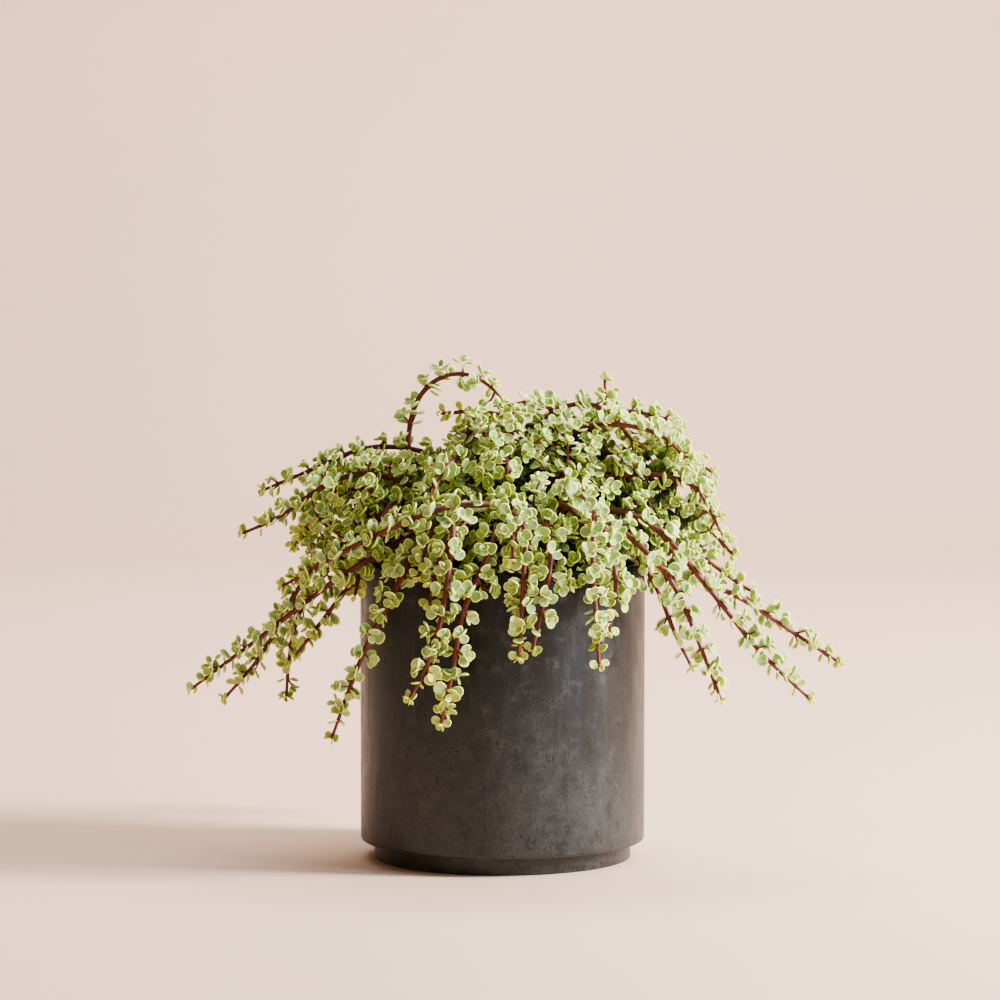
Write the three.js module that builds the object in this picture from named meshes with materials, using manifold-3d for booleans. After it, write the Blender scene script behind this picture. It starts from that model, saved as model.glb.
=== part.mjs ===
// A trailing elephant bush (variegated Portulacaria afra) in a plain cylinder pot.
// Millimetres, +Z up. The origin is the centre of the pot's base, on the surface it stands on.
// Every leafy stem is one closed shell: a three-sided stem whose walls grow into the leaves.
import * as THREE from "three";
import { mergeVertices } from "three/addons/utils/BufferGeometryUtils.js";
import Module from "manifold-3d";

const wasm = await Module();
wasm.setup();

// Driving dimensions of the pot and its soil.
const POT_RADIUS = 85;
const POT_HEIGHT = 176.6;
const POT_WALL = 6;
const POT_FLOOR = 12;
const FOOT_RADIUS = 76.7;
const FOOT_HEIGHT = 10.6;
const LOWER_CHAMFER = 2.2;
const RIM_CHAMFER = 1.3;
const POT_SEGMENTS = 40;
const CLEARANCE = 0.3;
const SOIL_EDGE_HEIGHT = 163;
const SOIL_CROWN_HEIGHT = 168;
const SOIL_SEGMENTS = 24;
const ROOT_DEPTH = 10;

// Driving dimensions of the stems. A radius here reaches to a corner of the three-sided stem.
const STEM_SIDES = 3;
const WALL_SHARE = Math.cos(Math.PI / STEM_SIDES);
const STEM_RADIUS_AT_SOIL = 2.4;
const STEM_RADIUS_AT_TIP = 1.2;
const STEM_START = 2;
const ROOT_FIELD_RADIUS = 64;
const ROOT_PULL = 0.62;
const RISE = { outward: 0.35, upward: 0.6 };
const SAMPLES = 48;
const DIRECTION_REACH = 5;

// How neighbouring stems are bent clear of each other.
const STEM_SPACING = 7.6;
const SPREAD_PASSES = 40;
const PUSH_SHARE = 0.25;
const SMOOTHING_ROUNDS = 4;
const STIFFNESS = 0.12;
const HELD_SAMPLES = 5;

// Driving dimensions of the leaves. Each range is [least, most].
const LEAF_SEED = 4001;
const BARE_LENGTH = 28;
const BARE_RINGS = 2;
const NODE_SPACING = 24.5;
const SPACING_AT_TIP = 0.72;
const SPACING_RANGE = [0.9, 1.1];
const NODE_TURN = Math.PI / STEM_SIDES;
const NODE_HEIGHT = 2.4;
const TIP_LENGTH = 2.6;
const LEAF_LENGTH = 9.4;
const LEAF_SIZES = [1, 0.92, 0.8];
const LEAF_SIZE_RANGE = [0.9, 1.05];
const LEAF_ASPECT = 0.92;
const TIP_LEAF_SHARE = 0.56;
const LAST_LEAF_SHARE = 0.8;
const LEAN_RANGE = [0.25, 0.75];
const SWAY_RANGE = [-0.25, 0.25];
const LIFT = 0.18;
const LIGHT = { outward: 0.75, upward: 0.8, range: [-0.3, 0.3] };

// A blade's outline as [along, across, lift], in shares of its length, width and length.
const BLADE_OUTLINE = [
  [0.36, -0.47, 0.04], [0.8, -0.36, 0.07], [1, 0, 0.02], [0.8, 0.36, 0.07], [0.36, 0.47, 0.04],
];
const BLADE_CENTRE = 0.56;
const BLADE_REACH = 0.48;
const BLADE_TEST_RINGS = [{ share: 0.5, count: 6 }, { share: 1, count: 10 }];

// Clearances that a blade keeps from its neighbours while it grows.
const BLADE_MARGIN = 2.0;
const SIBLING_MARGIN = 1.5;
const RIM_MARGIN = 0.6;
const STEM_MARGIN = 1.9;
const OWN_STEM_MARGIN = 1.2;
const OWN_STEM_REACH = 3;
const OWN_WALL_MARGIN = 1.3;
const OUTER_SHARE = 0.45;
const POT_MARGIN = 2.0;
const AXIS_STEP = 3;

// Stems that are seen one by one. Each list runs from where the stem leaves the crown to its tip.
const PLACED_STEMS = {
  top_1: [[-57, 4, 232], [-56, 5, 254], [-52, 3, 272], [-40, 0, 286], [-22, -5, 290], [-6, -10, 281],
    [0, -12, 273]],
  top_2: [[-28, -22, 240], [-22, -22, 252], [-16, -24, 261], [-7, -26, 267], [3, -28, 264]],
  top_3: [[-10, -32, 248], [-13, -27, 260], [-22, -24, 267], [-36, -24, 266]],
  top_4: [[42, 14, 244], [36, 12, 259], [27, 6, 270], [18, 2, 273], [3, 0, 270]],
  top_5: [[22, -4, 255], [32, -6, 268], [53, -9, 272], [68, -14, 261], [77, -18, 249]],
  top_6: [[60, 0, 240], [61, 0, 264], [61, 0, 287]],
  right_1: [[40, 16, 248], [53, 16, 261], [69, 16, 267], [94, 18, 263], [108, 18, 257]],
  right_2: [[19, -14, 241], [43, -16, 256], [61, -18, 260], [88, -22, 256], [102, -26, 247],
    [111, -28, 233]],
  right_3: [[60, 22, 222], [71, 24, 231], [89, 26, 242], [110, 26, 239], [127, 26, 229]],
  right_4: [[50, -22, 222], [63, -22, 228], [84, -24, 231], [110, -28, 226], [120, -30, 214],
    [129, -32, 195]],
  right_5: [[50, -22, 210], [82, -26, 201], [104, -30, 182], [122, -30, 166], [144, -28, 156],
    [165, -25, 141], [199, -22, 119]],
  right_6: [[60, -40, 212], [89, -48, 201], [109, -53, 179], [134, -56, 148], [151, -58, 127],
    [179, -60, 101]],
  right_7: [[58, -56, 207], [88, -70, 183], [102, -75, 163], [112, -78, 139], [126, -80, 103]],
  right_8: [[66, -34, 200], [89, -40, 168], [100, -43, 140], [111, -44, 118]],
  right_9: [[50, -8, 208], [80, -13, 199], [104, -17, 186], [121, -19, 179], [136, -20, 168],
    [147, -20, 161]],
  front_1: [[34, -45, 216], [40, -58, 222], [50, -74, 218], [53, -90, 207], [51, -100, 188],
    [53, -104, 158], [55, -105, 125]],
  front_2: [[50, -55, 206], [58, -68, 203], [64, -82, 183], [65, -87, 166], [61, -89, 143]],
  front_3: [[3, -60, 208], [6, -74, 210], [12, -90, 202], [12, -101, 181], [11, -103, 157],
    [9, -104, 130]],
  front_4: [[20, -62, 204], [24, -78, 205], [28, -94, 190], [25, -101, 168], [17, -104, 134]],
  front_5: [[2, -52, 202], [-2, -75, 206], [-8, -94, 187], [-23, -103, 156], [-27, -105, 128],
    [-35, -107, 92]],
  front_6: [[-26, -68, 208], [-29, -88, 200], [-31, -100, 178], [-35, -106, 150], [-44, -109, 122],
    [-53, -111, 107]],
  front_7: [[-20, -62, 209], [-27, -80, 205], [-35, -92, 188], [-42, -97, 159]],
  left_1: [[-34, -50, 206], [-44, -66, 203], [-55, -83, 180], [-67, -89, 157], [-81, -92, 129],
    [-98, -93, 82]],
  left_2: [[30, -50, 206], [11, -62, 212], [-16, -74, 214], [-49, -78, 208], [-81, -74, 194],
    [-112, -64, 176], [-128, -60, 167]],
  left_3: [[-25, -42, 206], [-45, -47, 201], [-77, -55, 181], [-110, -57, 161], [-138, -56, 139],
    [-161, -54, 122], [-182, -52, 106]],
  left_4: [[-52, -40, 203], [-66, -46, 194], [-84, -50, 173], [-100, -48, 153], [-121, -44, 125]],
  left_5: [[-40, -30, 212], [-66, -28, 207], [-93, -28, 190], [-120, -26, 166], [-137, -22, 132],
    [-148, -20, 116], [-165, -18, 97]],
  left_6: [[-60, 8, 196], [-80, 8, 193], [-96, 6, 180], [-112, 5, 163], [-126, 6, 136], [-130, 8, 95]],
  left_7: [[-37, 8, 236], [-55, 6, 244], [-82, 6, 245], [-106, 6, 235], [-144, 6, 219]],
  left_8: [[-45, -14, 218], [-64, -12, 227], [-86, -14, 231], [-108, -16, 222], [-131, -17, 205],
    [-154, -18, 195]],
  left_9: [[-45, 18, 210], [-62, 18, 219], [-87, 20, 221], [-105, 21, 211], [-117, 22, 197],
    [-121, 22, 188]],
};

// Families of stems that fill the crown and the far side. Angles are in degrees from +X towards +Y.
// Each stem rises to its crest, arches over and hangs to its tip; ranges are [least, most]. The
// nearer a stem is to the pot's left or right side, the nearer its tip is to any sideTip height.
const FAMILY_SHAPE = { jitter: 0.4, curl: 26, start: 0.6, startDrop: 12, shoulder: [0.62, 0.42] };
const STEM_FAMILIES = [
  {
    name: "back", count: 11, angles: [14, 166],
    crest: { radius: [62, 84], height: [218, 240] },
    tip: { radius: [118, 160], height: [88, 196] },
    sideTip: 184,
  },
  {
    name: "crown", count: 8, angles: [0, 315],
    crest: { radius: [26, 44], height: [226, 250] },
    tip: { radius: [60, 84], height: [206, 236] },
  },
  {
    name: "skirt", count: 5, angles: [205, 338],
    crest: { radius: [60, 70], height: [206, 218] },
    tip: { radius: [98, 108], height: [160, 184] },
  },
];

const LEAFY = { color: 0x8ea06a, roughness: 0.5, metalness: 0 };

// ---- arithmetic on points kept as [x, y, z] -------------------------------------------------

const add = (a, b) => [a[0] + b[0], a[1] + b[1], a[2] + b[2]];
const minus = (a, b) => [a[0] - b[0], a[1] - b[1], a[2] - b[2]];
const times = (a, k) => [a[0] * k, a[1] * k, a[2] * k];
const dot = (a, b) => a[0] * b[0] + a[1] * b[1] + a[2] * b[2];
const cross = (a, b) => [
  a[1] * b[2] - a[2] * b[1],
  a[2] * b[0] - a[0] * b[2],
  a[0] * b[1] - a[1] * b[0],
];
const unit = (a) => times(a, 1 / Math.sqrt(dot(a, a)));
const mix = (a, b, share) => a + (b - a) * share;
const mixPoints = (a, b, share) => a.map((value, axis) => mix(value, b[axis], share));
const draw = (random, [least, most]) => mix(least, most, random());
const radians = (degrees) => (degrees * Math.PI) / 180;

// A seeded stream of numbers from 0 to 1.
function randomStream(seed) {
  let state = Math.imul(seed + 1, 2654435761) >>> 0;
  return () => {
    state = (Math.imul(state, 1664525) + 1013904223) >>> 0;
    return state / 4294967296;
  };
}

// ---- where the stems run --------------------------------------------------------------------

// A family's stems, spaced evenly over its angles with a small seeded shift.
function familyPaths(family, seed) {
  const random = randomStream(seed);
  const step = (family.angles[1] - family.angles[0]) / (family.count - 1);
  return Array.from({ length: family.count }, (_, index) => {
    const azimuth = family.angles[0] + step * (index + FAMILY_SHAPE.jitter * (random() - 0.5));
    const curl = FAMILY_SHAPE.curl * (random() - 0.5);
    const crest = [draw(random, family.crest.radius), draw(random, family.crest.height)];
    const tip = [draw(random, family.tip.radius), draw(random, family.tip.height)];
    if (family.sideTip) {
      tip[1] = mix(tip[1], family.sideTip, Math.cos(radians(azimuth)) ** 2);
    }
    const shoulder = FAMILY_SHAPE.shoulder.map((share, axis) => mix(crest[axis], tip[axis], share));
    const stops = [
      [FAMILY_SHAPE.start * crest[0], crest[1] - FAMILY_SHAPE.startDrop, 0],
      [crest[0], crest[1], 0.2],
      [...shoulder, 0.6],
      [...tip, 1],
    ];
    return stops.map(([radius, height, turn]) => {
      const angle = radians(azimuth + curl * turn);
      return [radius * Math.cos(angle), radius * Math.sin(angle), height];
    });
  });
}

function soilHeight(x, y) {
  const share = (x * x + y * y) / (POT_RADIUS - POT_WALL) ** 2;
  return mix(SOIL_CROWN_HEIGHT, SOIL_EDGE_HEIGHT, share);
}

// Places for the roots, evenly spread over the soil as seeds are in a sunflower.
function rootPlaces(count) {
  const goldenAngle = Math.PI * (3 - Math.sqrt(5));
  return Array.from({ length: count }, (_, index) => {
    const radius = ROOT_FIELD_RADIUS * Math.sqrt((index + 0.5) / count);
    return [radius * Math.cos(index * goldenAngle), radius * Math.sin(index * goldenAngle)];
  });
}

// Shares the root places out so that each lies near the point wanted below its stem's start.
// Stems trade places in pairs for as long as a trade brings the two of them nearer.
function shareRoots(wanted) {
  const places = rootPlaces(wanted.length);
  const away = (a, b) => (places[a][0] - wanted[b][0]) ** 2 + (places[a][1] - wanted[b][1]) ** 2;
  for (let trades = 1; trades > 0;) {
    trades = 0;
    for (let a = 0; a < places.length; a += 1) {
      for (let b = a + 1; b < places.length; b += 1) {
        if (away(a, b) + away(b, a) < away(a, a) + away(b, b) - 1e-6) {
          [places[a], places[b]] = [places[b], places[a]];
          trades += 1;
        }
      }
    }
  }
  return places;
}

// Starts each path at its root in the soil, from where the stem first rises steeply.
function rootStems(paths) {
  const roots = shareRoots(paths.map(([start]) => [start[0] * ROOT_PULL, start[1] * ROOT_PULL]));
  return paths.map((path, index) => {
    const root = [...roots[index], soilHeight(...roots[index]) + STEM_START];
    const rise = [
      mix(root[0], path[0][0], RISE.outward),
      mix(root[1], path[0][1], RISE.outward),
      mix(root[2], path[0][2], RISE.upward),
    ];
    return [root, rise, ...path];
  });
}

// A smooth curve through a path's points, as evenly numbered samples.
function samplePath(path) {
  const curve = new THREE.CatmullRomCurve3(path.map((point) => new THREE.Vector3(...point)));
  curve.curveType = "catmullrom";
  return curve.getPoints(SAMPLES - 1).map((point) => point.toArray());
}

// Bends neighbouring stems clear of each other; the roots stay where they are.
function spreadStems(stems) {
  for (let pass = 0; pass < SPREAD_PASSES; pass += 1) {
    const pushes = stems.map((stem) => stem.map(() => [0, 0, 0]));
    for (let a = 0; a < stems.length; a += 1) {
      for (let b = a + 1; b < stems.length; b += 1) {
        pushApart(stems[a], stems[b], pushes[a], pushes[b]);
      }
    }
    stems.forEach((stem, index) => moveStem(stem, pushes[index]));
  }
}

function pushApart(stemA, stemB, pushesA, pushesB) {
  for (let i = 0; i < SAMPLES; i += 1) {
    for (let j = 0; j < SAMPLES; j += 1) {
      const gap = minus(stemA[i], stemB[j]);
      const distance = Math.sqrt(dot(gap, gap));
      if (distance < STEM_SPACING && distance > 1e-6) {
        const push = times(gap, (PUSH_SHARE * (STEM_SPACING - distance)) / distance);
        pushesA[i] = add(pushesA[i], push);
        pushesB[j] = minus(pushesB[j], push);
      }
    }
  }
}

// Moves a stem by its pushes, smoothed along it and fading to nothing at the root. Its own
// stiffness takes out sharp bends.
function moveStem(stem, pushes) {
  let smooth = pushes;
  for (let round = 0; round < SMOOTHING_ROUNDS; round += 1) {
    smooth = smooth.map((push, i) => {
      const before = smooth[Math.max(i - 1, 0)];
      const after = smooth[Math.min(i + 1, SAMPLES - 1)];
      return add(times(push, 0.5), times(add(before, after), 0.25));
    });
  }
  const bends = stem.map((point, i) => (
    i > 0 && i < SAMPLES - 1 ? minus(mixPoints(stem[i - 1], stem[i + 1], 0.5), point) : [0, 0, 0]
  ));
  stem.forEach((point, i) => {
    const freedom = Math.min(i / HELD_SAMPLES, 1);
    stem[i] = add(point, times(add(smooth[i], times(bends[i], STIFFNESS)), freedom));
  });
}

// ---- nodes along a stem, where its leaves grow ----------------------------------------------

// A stem as a polyline that can be asked for its point and direction at a length along it.
function measureStem(samples) {
  const lengths = [0];
  for (let i = 1; i < samples.length; i += 1) {
    const step = minus(samples[i], samples[i - 1]);
    lengths.push(lengths[i - 1] + Math.sqrt(dot(step, step)));
  }
  return { samples, lengths, length: lengths[lengths.length - 1] };
}

function pointAlong(stem, length) {
  let i = 1;
  while (i < SAMPLES - 1 && stem.lengths[i] < length) i += 1;
  const share = (length - stem.lengths[i - 1]) / (stem.lengths[i] - stem.lengths[i - 1]);
  return mixPoints(stem.samples[i - 1], stem.samples[i], share);
}

function directionAlong(stem, length) {
  const ahead = pointAlong(stem, Math.min(length + DIRECTION_REACH, stem.length));
  const behind = pointAlong(stem, Math.max(length - DIRECTION_REACH, 0));
  return unit(minus(ahead, behind));
}

function stemRadius(stem, length) {
  return mix(STEM_RADIUS_AT_SOIL, STEM_RADIUS_AT_TIP, Math.min(length / stem.length, 1));
}

// Lengths at which nodes sit, counted from the tip down to the bare part of the stem.
function nodeLengths(stem, random) {
  const places = [];
  let place = stem.length - TIP_LENGTH - NODE_HEIGHT / 2;
  while (place > BARE_LENGTH) {
    places.push(place);
    const crowding = mix(1, SPACING_AT_TIP, place / stem.length);
    place -= NODE_SPACING * crowding * draw(random, SPACING_RANGE);
  }
  return places;
}

// Directions out of the stem's walls, from two directions across it.
function wallDirections(normal, binormal, turn) {
  return Array.from({ length: STEM_SIDES }, (_, side) => {
    const angle = turn + (2 * Math.PI * side) / STEM_SIDES;
    return add(times(normal, Math.cos(angle)), times(binormal, Math.sin(angle)));
  });
}

// Frames carried along a stem. Each node is turned on from the last, so that its leaves stand
// over the gaps between those below.
function frameStem(stem, lengths, roll) {
  let normal = unit(cross(directionAlong(stem, 0), [Math.cos(roll), Math.sin(roll), 0.3]));
  return lengths.map((length, index) => {
    const along = directionAlong(stem, length);
    normal = unit(minus(normal, times(along, dot(normal, along))));
    return {
      length,
      along,
      centre: pointAlong(stem, length),
      radius: stemRadius(stem, length),
      sides: wallDirections(normal, cross(along, normal), Math.max(index - BARE_RINGS, 0) * NODE_TURN),
    };
  });
}

// The leaves of a node, one from each wall. The first is the largest.
function planLeaves(stem, frame, rank, random) {
  const share = frame.length / stem.length;
  return LEAF_SIZES.map((largest, side) => {
    const size = largest * mix(1, TIP_LEAF_SHARE, share ** 5) * draw(random, LEAF_SIZE_RANGE);
    return {
      side,
      length: LEAF_LENGTH * size * (rank === 0 ? LAST_LEAF_SHARE : 1),
      lean: draw(random, LEAN_RANGE),
      sway: draw(random, SWAY_RANGE),
      light: [draw(random, LIGHT.range), draw(random, LIGHT.range)],
    };
  });
}

// Turns a plan into a blade: where it starts, which way it points and which way it faces.
// A blade faces up along its stem, and turns from there towards the light above and outside.
function poseLeaf(frame, plan, [moreLean, moreSway, lightShare]) {
  const side = frame.sides[plan.side];
  const across = cross(frame.along, side);
  const outward = Math.hypot(frame.centre[0], frame.centre[1]);
  const light = unit([
    (LIGHT.outward * frame.centre[0]) / outward + plan.light[0],
    (LIGHT.outward * frame.centre[1]) / outward + plan.light[1],
    LIGHT.upward,
  ]);
  const wanted = mixPoints(frame.along, light, lightShare);
  const tilt = add(times(frame.along, plan.lean + moreLean), times(across, plan.sway + moreSway));
  const pointing = unit(add(add(side, tilt), [0, 0, LIFT]));
  const facing = unit(minus(wanted, times(pointing, dot(wanted, pointing))));
  const base = add(frame.centre, times(side, frame.radius * WALL_SHARE));
  return {
    side: plan.side,
    base,
    pointing,
    facing,
    across: cross(facing, pointing),
    length: plan.length,
    width: plan.length * LEAF_ASPECT,
    centre: add(base, times(pointing, plan.length * BLADE_CENTRE)),
    reach: plan.length * BLADE_REACH,
  };
}

// Points spread over a blade, for finding what it would touch.
function bladePoints(leaf) {
  const points = [leaf.centre];
  for (const { share, count } of BLADE_TEST_RINGS) {
    for (let i = 0; i < count; i += 1) {
      const angle = (2 * Math.PI * i) / count;
      const along = times(leaf.pointing, Math.cos(angle) * leaf.reach * share);
      const across = times(leaf.across, Math.sin(angle) * leaf.reach * share);
      points.push(add(leaf.centre, add(along, across)));
    }
  }
  return points;
}

function distanceBetween(a, b) {
  const gap = minus(a, b);
  return Math.sqrt(dot(gap, gap));
}

function bladesMeet(points, leaf, other, margin) {
  if (distanceBetween(leaf.centre, other.centre) > leaf.reach + other.reach + margin) return false;
  return points.some((point) => {
    const gap = minus(point, other.centre);
    const height = dot(gap, other.facing);
    const flat = minus(gap, times(other.facing, height));
    return Math.abs(height) < margin && Math.sqrt(dot(flat, flat)) < other.reach + RIM_MARGIN;
  });
}

function pointInPotOrSoil([x, y, z]) {
  const radius = Math.hypot(x, y);
  if (radius < POT_RADIUS - POT_WALL - POT_MARGIN) {
    return z < soilHeight(x, y) + POT_MARGIN;
  }
  return radius < POT_RADIUS + POT_MARGIN && z < POT_HEIGHT + POT_MARGIN;
}

// Gives each frame the directions in which the stem runs on below and above it.
function addRuns(stem) {
  const centres = [...stem.allFrames.map((frame) => frame.centre), stem.samples[SAMPLES - 1]];
  const runs = centres.slice(1).map((centre, i) => unit(minus(centre, centres[i])));
  stem.allFrames.forEach((frame, i) => {
    frame.runs = [runs[Math.max(i - 1, 0)], runs[i]];
  });
}

// Points along the straight runs that a stem is made of, from ring to ring, with its radius there.
function axisPoints(stem) {
  const stops = [...stem.allFrames, { centre: stem.samples[SAMPLES - 1], length: stem.length }];
  return stops.slice(1).flatMap((stop, i) => {
    const start = stops[i];
    const count = Math.ceil(distanceBetween(start.centre, stop.centre) / AXIS_STEP);
    return Array.from({ length: count }, (_, step) => {
      const length = mix(start.length, stop.length, (step + 1) / count);
      const point = mixPoints(start.centre, stop.centre, (step + 1) / count);
      return { point, length, radius: stemRadius(stem, length) };
    });
  });
}

function touchesStem(points, own, ownLength, stems) {
  return stems.some((stem) => stem.axis.some(({ point: spot, length, radius }) => {
    if (stem === own && Math.abs(length - ownLength) < OWN_STEM_REACH) return false;
    const margin = radius + (stem === own ? OWN_STEM_MARGIN : STEM_MARGIN);
    return points.some((point) => distanceBetween(point, spot) < margin);
  }));
}

// Directions out of the walls that lie below and above a node's own wall, where the stem bends.
function wallsBeside(frame, side) {
  const outward = frame.sides[side];
  return frame.runs.map((run) => unit(minus(outward, times(run, dot(outward, run)))));
}

// Turns that a blade may make to find a free place, as more lean, more sway and its share of
// light. After the last it isn't grown.
const TURNS = [
  [0, 0, 0.85], [0, 0, 0.5], [0.25, 0, 0.5], [0, 0.3, 0.5], [0, -0.3, 0.5], [-0.3, 0, 0.5],
  [0, 0, 0.15], [0, 0.35, 0.15], [0, -0.35, 0.15],
];

// Grows the leaves of all stems, tips first, each clear of all that stands already.
function growLeaves(stems) {
  const grown = [];
  const most = Math.max(...stems.map((stem) => stem.frames.length));
  for (let rank = 0; rank < most; rank += 1) {
    for (const stem of stems) {
      const frame = stem.frames[rank];
      if (!frame) continue;
      for (const plan of stem.plans[rank]) {
        const fits = (leaf) => {
          const points = bladePoints(leaf);
          const outer = points.filter(
            (point) => distanceBetween(point, leaf.base) > OUTER_SHARE * leaf.length,
          );
          const walls = wallsBeside(frame, plan.side);
          const onWall = (point) => walls.some(
            (wall) => dot(minus(point, leaf.base), wall) < OWN_WALL_MARGIN,
          );
          const meets = (other) => (other.frame === frame
            ? bladesMeet(outer, leaf, other, SIBLING_MARGIN)
            : bladesMeet(points, leaf, other, BLADE_MARGIN));
          return !outer.some(onWall)
            && !points.some(pointInPotOrSoil)
            && !touchesStem(outer, stem, frame.length, stems)
            && !grown.some(meets);
        };
        const leaf = TURNS.map((turn) => poseLeaf(frame, plan, turn)).find(fits);
        if (leaf) grown.push({ ...leaf, frame, stem });
      }
    }
  }
  return grown;
}

// ---- meshes ---------------------------------------------------------------------------------

function closedGeometry(vertices, triangles) {
  const geometry = new THREE.BufferGeometry();
  geometry.setAttribute("position", new THREE.Float32BufferAttribute(vertices.flat(), 3));
  geometry.setIndex(triangles.flat());
  return geometry;
}

// The corners of a stem at a frame, moved along the stem by a shift.
function ringCorners(frame, shift) {
  const centre = add(frame.centre, times(frame.along, shift));
  return frame.sides.map((side, j) => {
    const previous = frame.sides[(j + STEM_SIDES - 1) % STEM_SIDES];
    return add(centre, times(unit(add(side, previous)), frame.radius));
  });
}

// A blade grown out of a wall of the stem. The wall's corners run anticlockwise seen from outside.
// The edge of the wall that lies nearest to the blade's upper face carries that face.
function bladeTriangles(leaf, wall, vertices) {
  const middle = times(wall.reduce((sum, i) => add(sum, vertices[i]), [0, 0, 0]), 0.25);
  const edgeFacing = (k) => {
    const edge = times(add(vertices[wall[k]], vertices[wall[(k + 1) % 4]]), 0.5);
    return dot(unit(minus(edge, middle)), leaf.facing);
  };
  const top = [0, 1, 2, 3].reduce((best, k) => (edgeFacing(k) > edgeFacing(best) ? k : best));
  const [rightTop, leftTop, leftLow, rightLow] = [0, 1, 2, 3].map((k) => wall[(top + k) % 4]);
  const rim = BLADE_OUTLINE.map(([along, across, lift]) => {
    const flat = add(times(leaf.pointing, along * leaf.length), times(leaf.across, across * leaf.width));
    vertices.push(add(leaf.base, add(flat, times(leaf.facing, lift * leaf.length))));
    return vertices.length - 1;
  });
  const [leftWide, leftFar, tip, rightFar, rightWide] = rim;
  return [
    [leftTop, leftWide, leftFar], [leftTop, leftFar, tip], [leftTop, tip, rightTop],
    [rightTop, tip, rightFar], [rightTop, rightFar, rightWide],
    [leftLow, leftFar, leftWide], [leftLow, tip, leftFar], [leftLow, rightLow, tip],
    [rightLow, rightFar, tip], [rightLow, rightWide, rightFar],
    [leftTop, leftLow, leftWide], [rightLow, rightTop, rightWide],
  ];
}

// One leafy stem as one closed shell, from its cut-square root to its pointed tip.
function stemGeometry(stem, leaves) {
  const [rootX, rootY, rootZ] = stem.samples[0];
  const upright = { ...stem.allFrames[0], along: [0, 0, 1], sides: rootSides(stem) };
  const buried = { ...upright, centre: [rootX, rootY, rootZ - STEM_START - ROOT_DEPTH] };
  const rings = [{ corners: ringCorners(buried, 0) }, { corners: ringCorners(upright, 0) }];
  stem.bareFrames.forEach((frame) => rings.push({ corners: ringCorners(frame, 0) }));
  [...stem.frames].reverse().forEach((frame) => {
    rings.push({ corners: ringCorners(frame, -NODE_HEIGHT / 2) });
    rings.push({ corners: ringCorners(frame, NODE_HEIGHT / 2), frame });
  });

  const vertices = rings.flatMap((ring) => ring.corners);
  const triangles = [[0, 2, 1]];
  for (let ring = 1; ring < rings.length; ring += 1) {
    for (let side = 0; side < STEM_SIDES; side += 1) {
      const next = (side + 1) % STEM_SIDES;
      const [low, high] = [(ring - 1) * STEM_SIDES, ring * STEM_SIDES];
      const wall = [low + next, high + next, high + side, low + side];
      const leaf = leaves.find((grown) => grown.frame === rings[ring].frame && grown.side === side);
      if (leaf) {
        triangles.push(...bladeTriangles(leaf, wall, vertices));
      } else {
        triangles.push([wall[0], wall[1], wall[2]], [wall[0], wall[2], wall[3]]);
      }
    }
  }
  const last = (rings.length - 1) * STEM_SIDES;
  vertices.push(stem.samples[SAMPLES - 1]);
  const tip = vertices.length - 1;
  for (let side = 0; side < STEM_SIDES; side += 1) {
    triangles.push([last + side, last + ((side + 1) % STEM_SIDES), tip]);
  }
  return closedGeometry(vertices, triangles);
}

// Walls of the stem where it goes straight down into the soil.
function rootSides(stem) {
  const wall = stem.allFrames[0].sides[0];
  const level = unit([wall[0], wall[1], 0]);
  return wallDirections(level, [-level[1], level[0], 0], 0);
}

function latheSolid(profile, segments) {
  const points = profile.map(([radius, height]) => new THREE.Vector2(radius, height));
  const geometry = new THREE.LatheGeometry(points, segments);
  geometry.deleteAttribute("normal");
  geometry.deleteAttribute("uv");
  geometry.rotateX(Math.PI / 2);
  return mergeVertices(geometry, 1e-4);
}

function potGeometry() {
  const inner = POT_RADIUS - POT_WALL;
  return latheSolid([
    [0, 0], [FOOT_RADIUS, 0], [FOOT_RADIUS, FOOT_HEIGHT],
    [POT_RADIUS - LOWER_CHAMFER, FOOT_HEIGHT], [POT_RADIUS, FOOT_HEIGHT + LOWER_CHAMFER],
    [POT_RADIUS, POT_HEIGHT - RIM_CHAMFER], [POT_RADIUS - RIM_CHAMFER, POT_HEIGHT],
    [inner + RIM_CHAMFER, POT_HEIGHT], [inner, POT_HEIGHT - RIM_CHAMFER],
    [inner, POT_FLOOR], [0, POT_FLOOR],
  ], POT_SEGMENTS);
}

const toSolid = (geometry) => new wasm.Manifold(new wasm.Mesh({
  numProp: 3,
  vertProperties: Float32Array.from(geometry.attributes.position.array),
  triVerts: Uint32Array.from(geometry.index.array),
}));

function toGeometry(solid) {
  const mesh = solid.getMesh();
  const geometry = new THREE.BufferGeometry();
  geometry.setAttribute("position", new THREE.BufferAttribute(mesh.vertProperties, 3));
  geometry.setIndex(new THREE.BufferAttribute(mesh.triVerts, 1));
  return geometry;
}

// A hole for a stem, of the stem's own section with the clearance all round and below it.
function rootHole(stem) {
  const [x, y, z] = stem.samples[0];
  const bottom = z - STEM_START - ROOT_DEPTH - CLEARANCE;
  const radius = STEM_RADIUS_AT_SOIL + CLEARANCE / WALL_SHARE;
  const hole = new THREE.CylinderGeometry(radius, radius, 2 * ROOT_DEPTH, STEM_SIDES);
  hole.deleteAttribute("normal");
  hole.deleteAttribute("uv");
  const wall = rootSides(stem)[0];
  hole.rotateX(Math.PI / 2);
  hole.rotateZ(Math.atan2(wall[1], wall[0]) + Math.PI / 2 + Math.PI / STEM_SIDES);
  hole.translate(x, y, bottom + ROOT_DEPTH);
  return toSolid(mergeVertices(hole, 1e-4));
}

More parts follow.
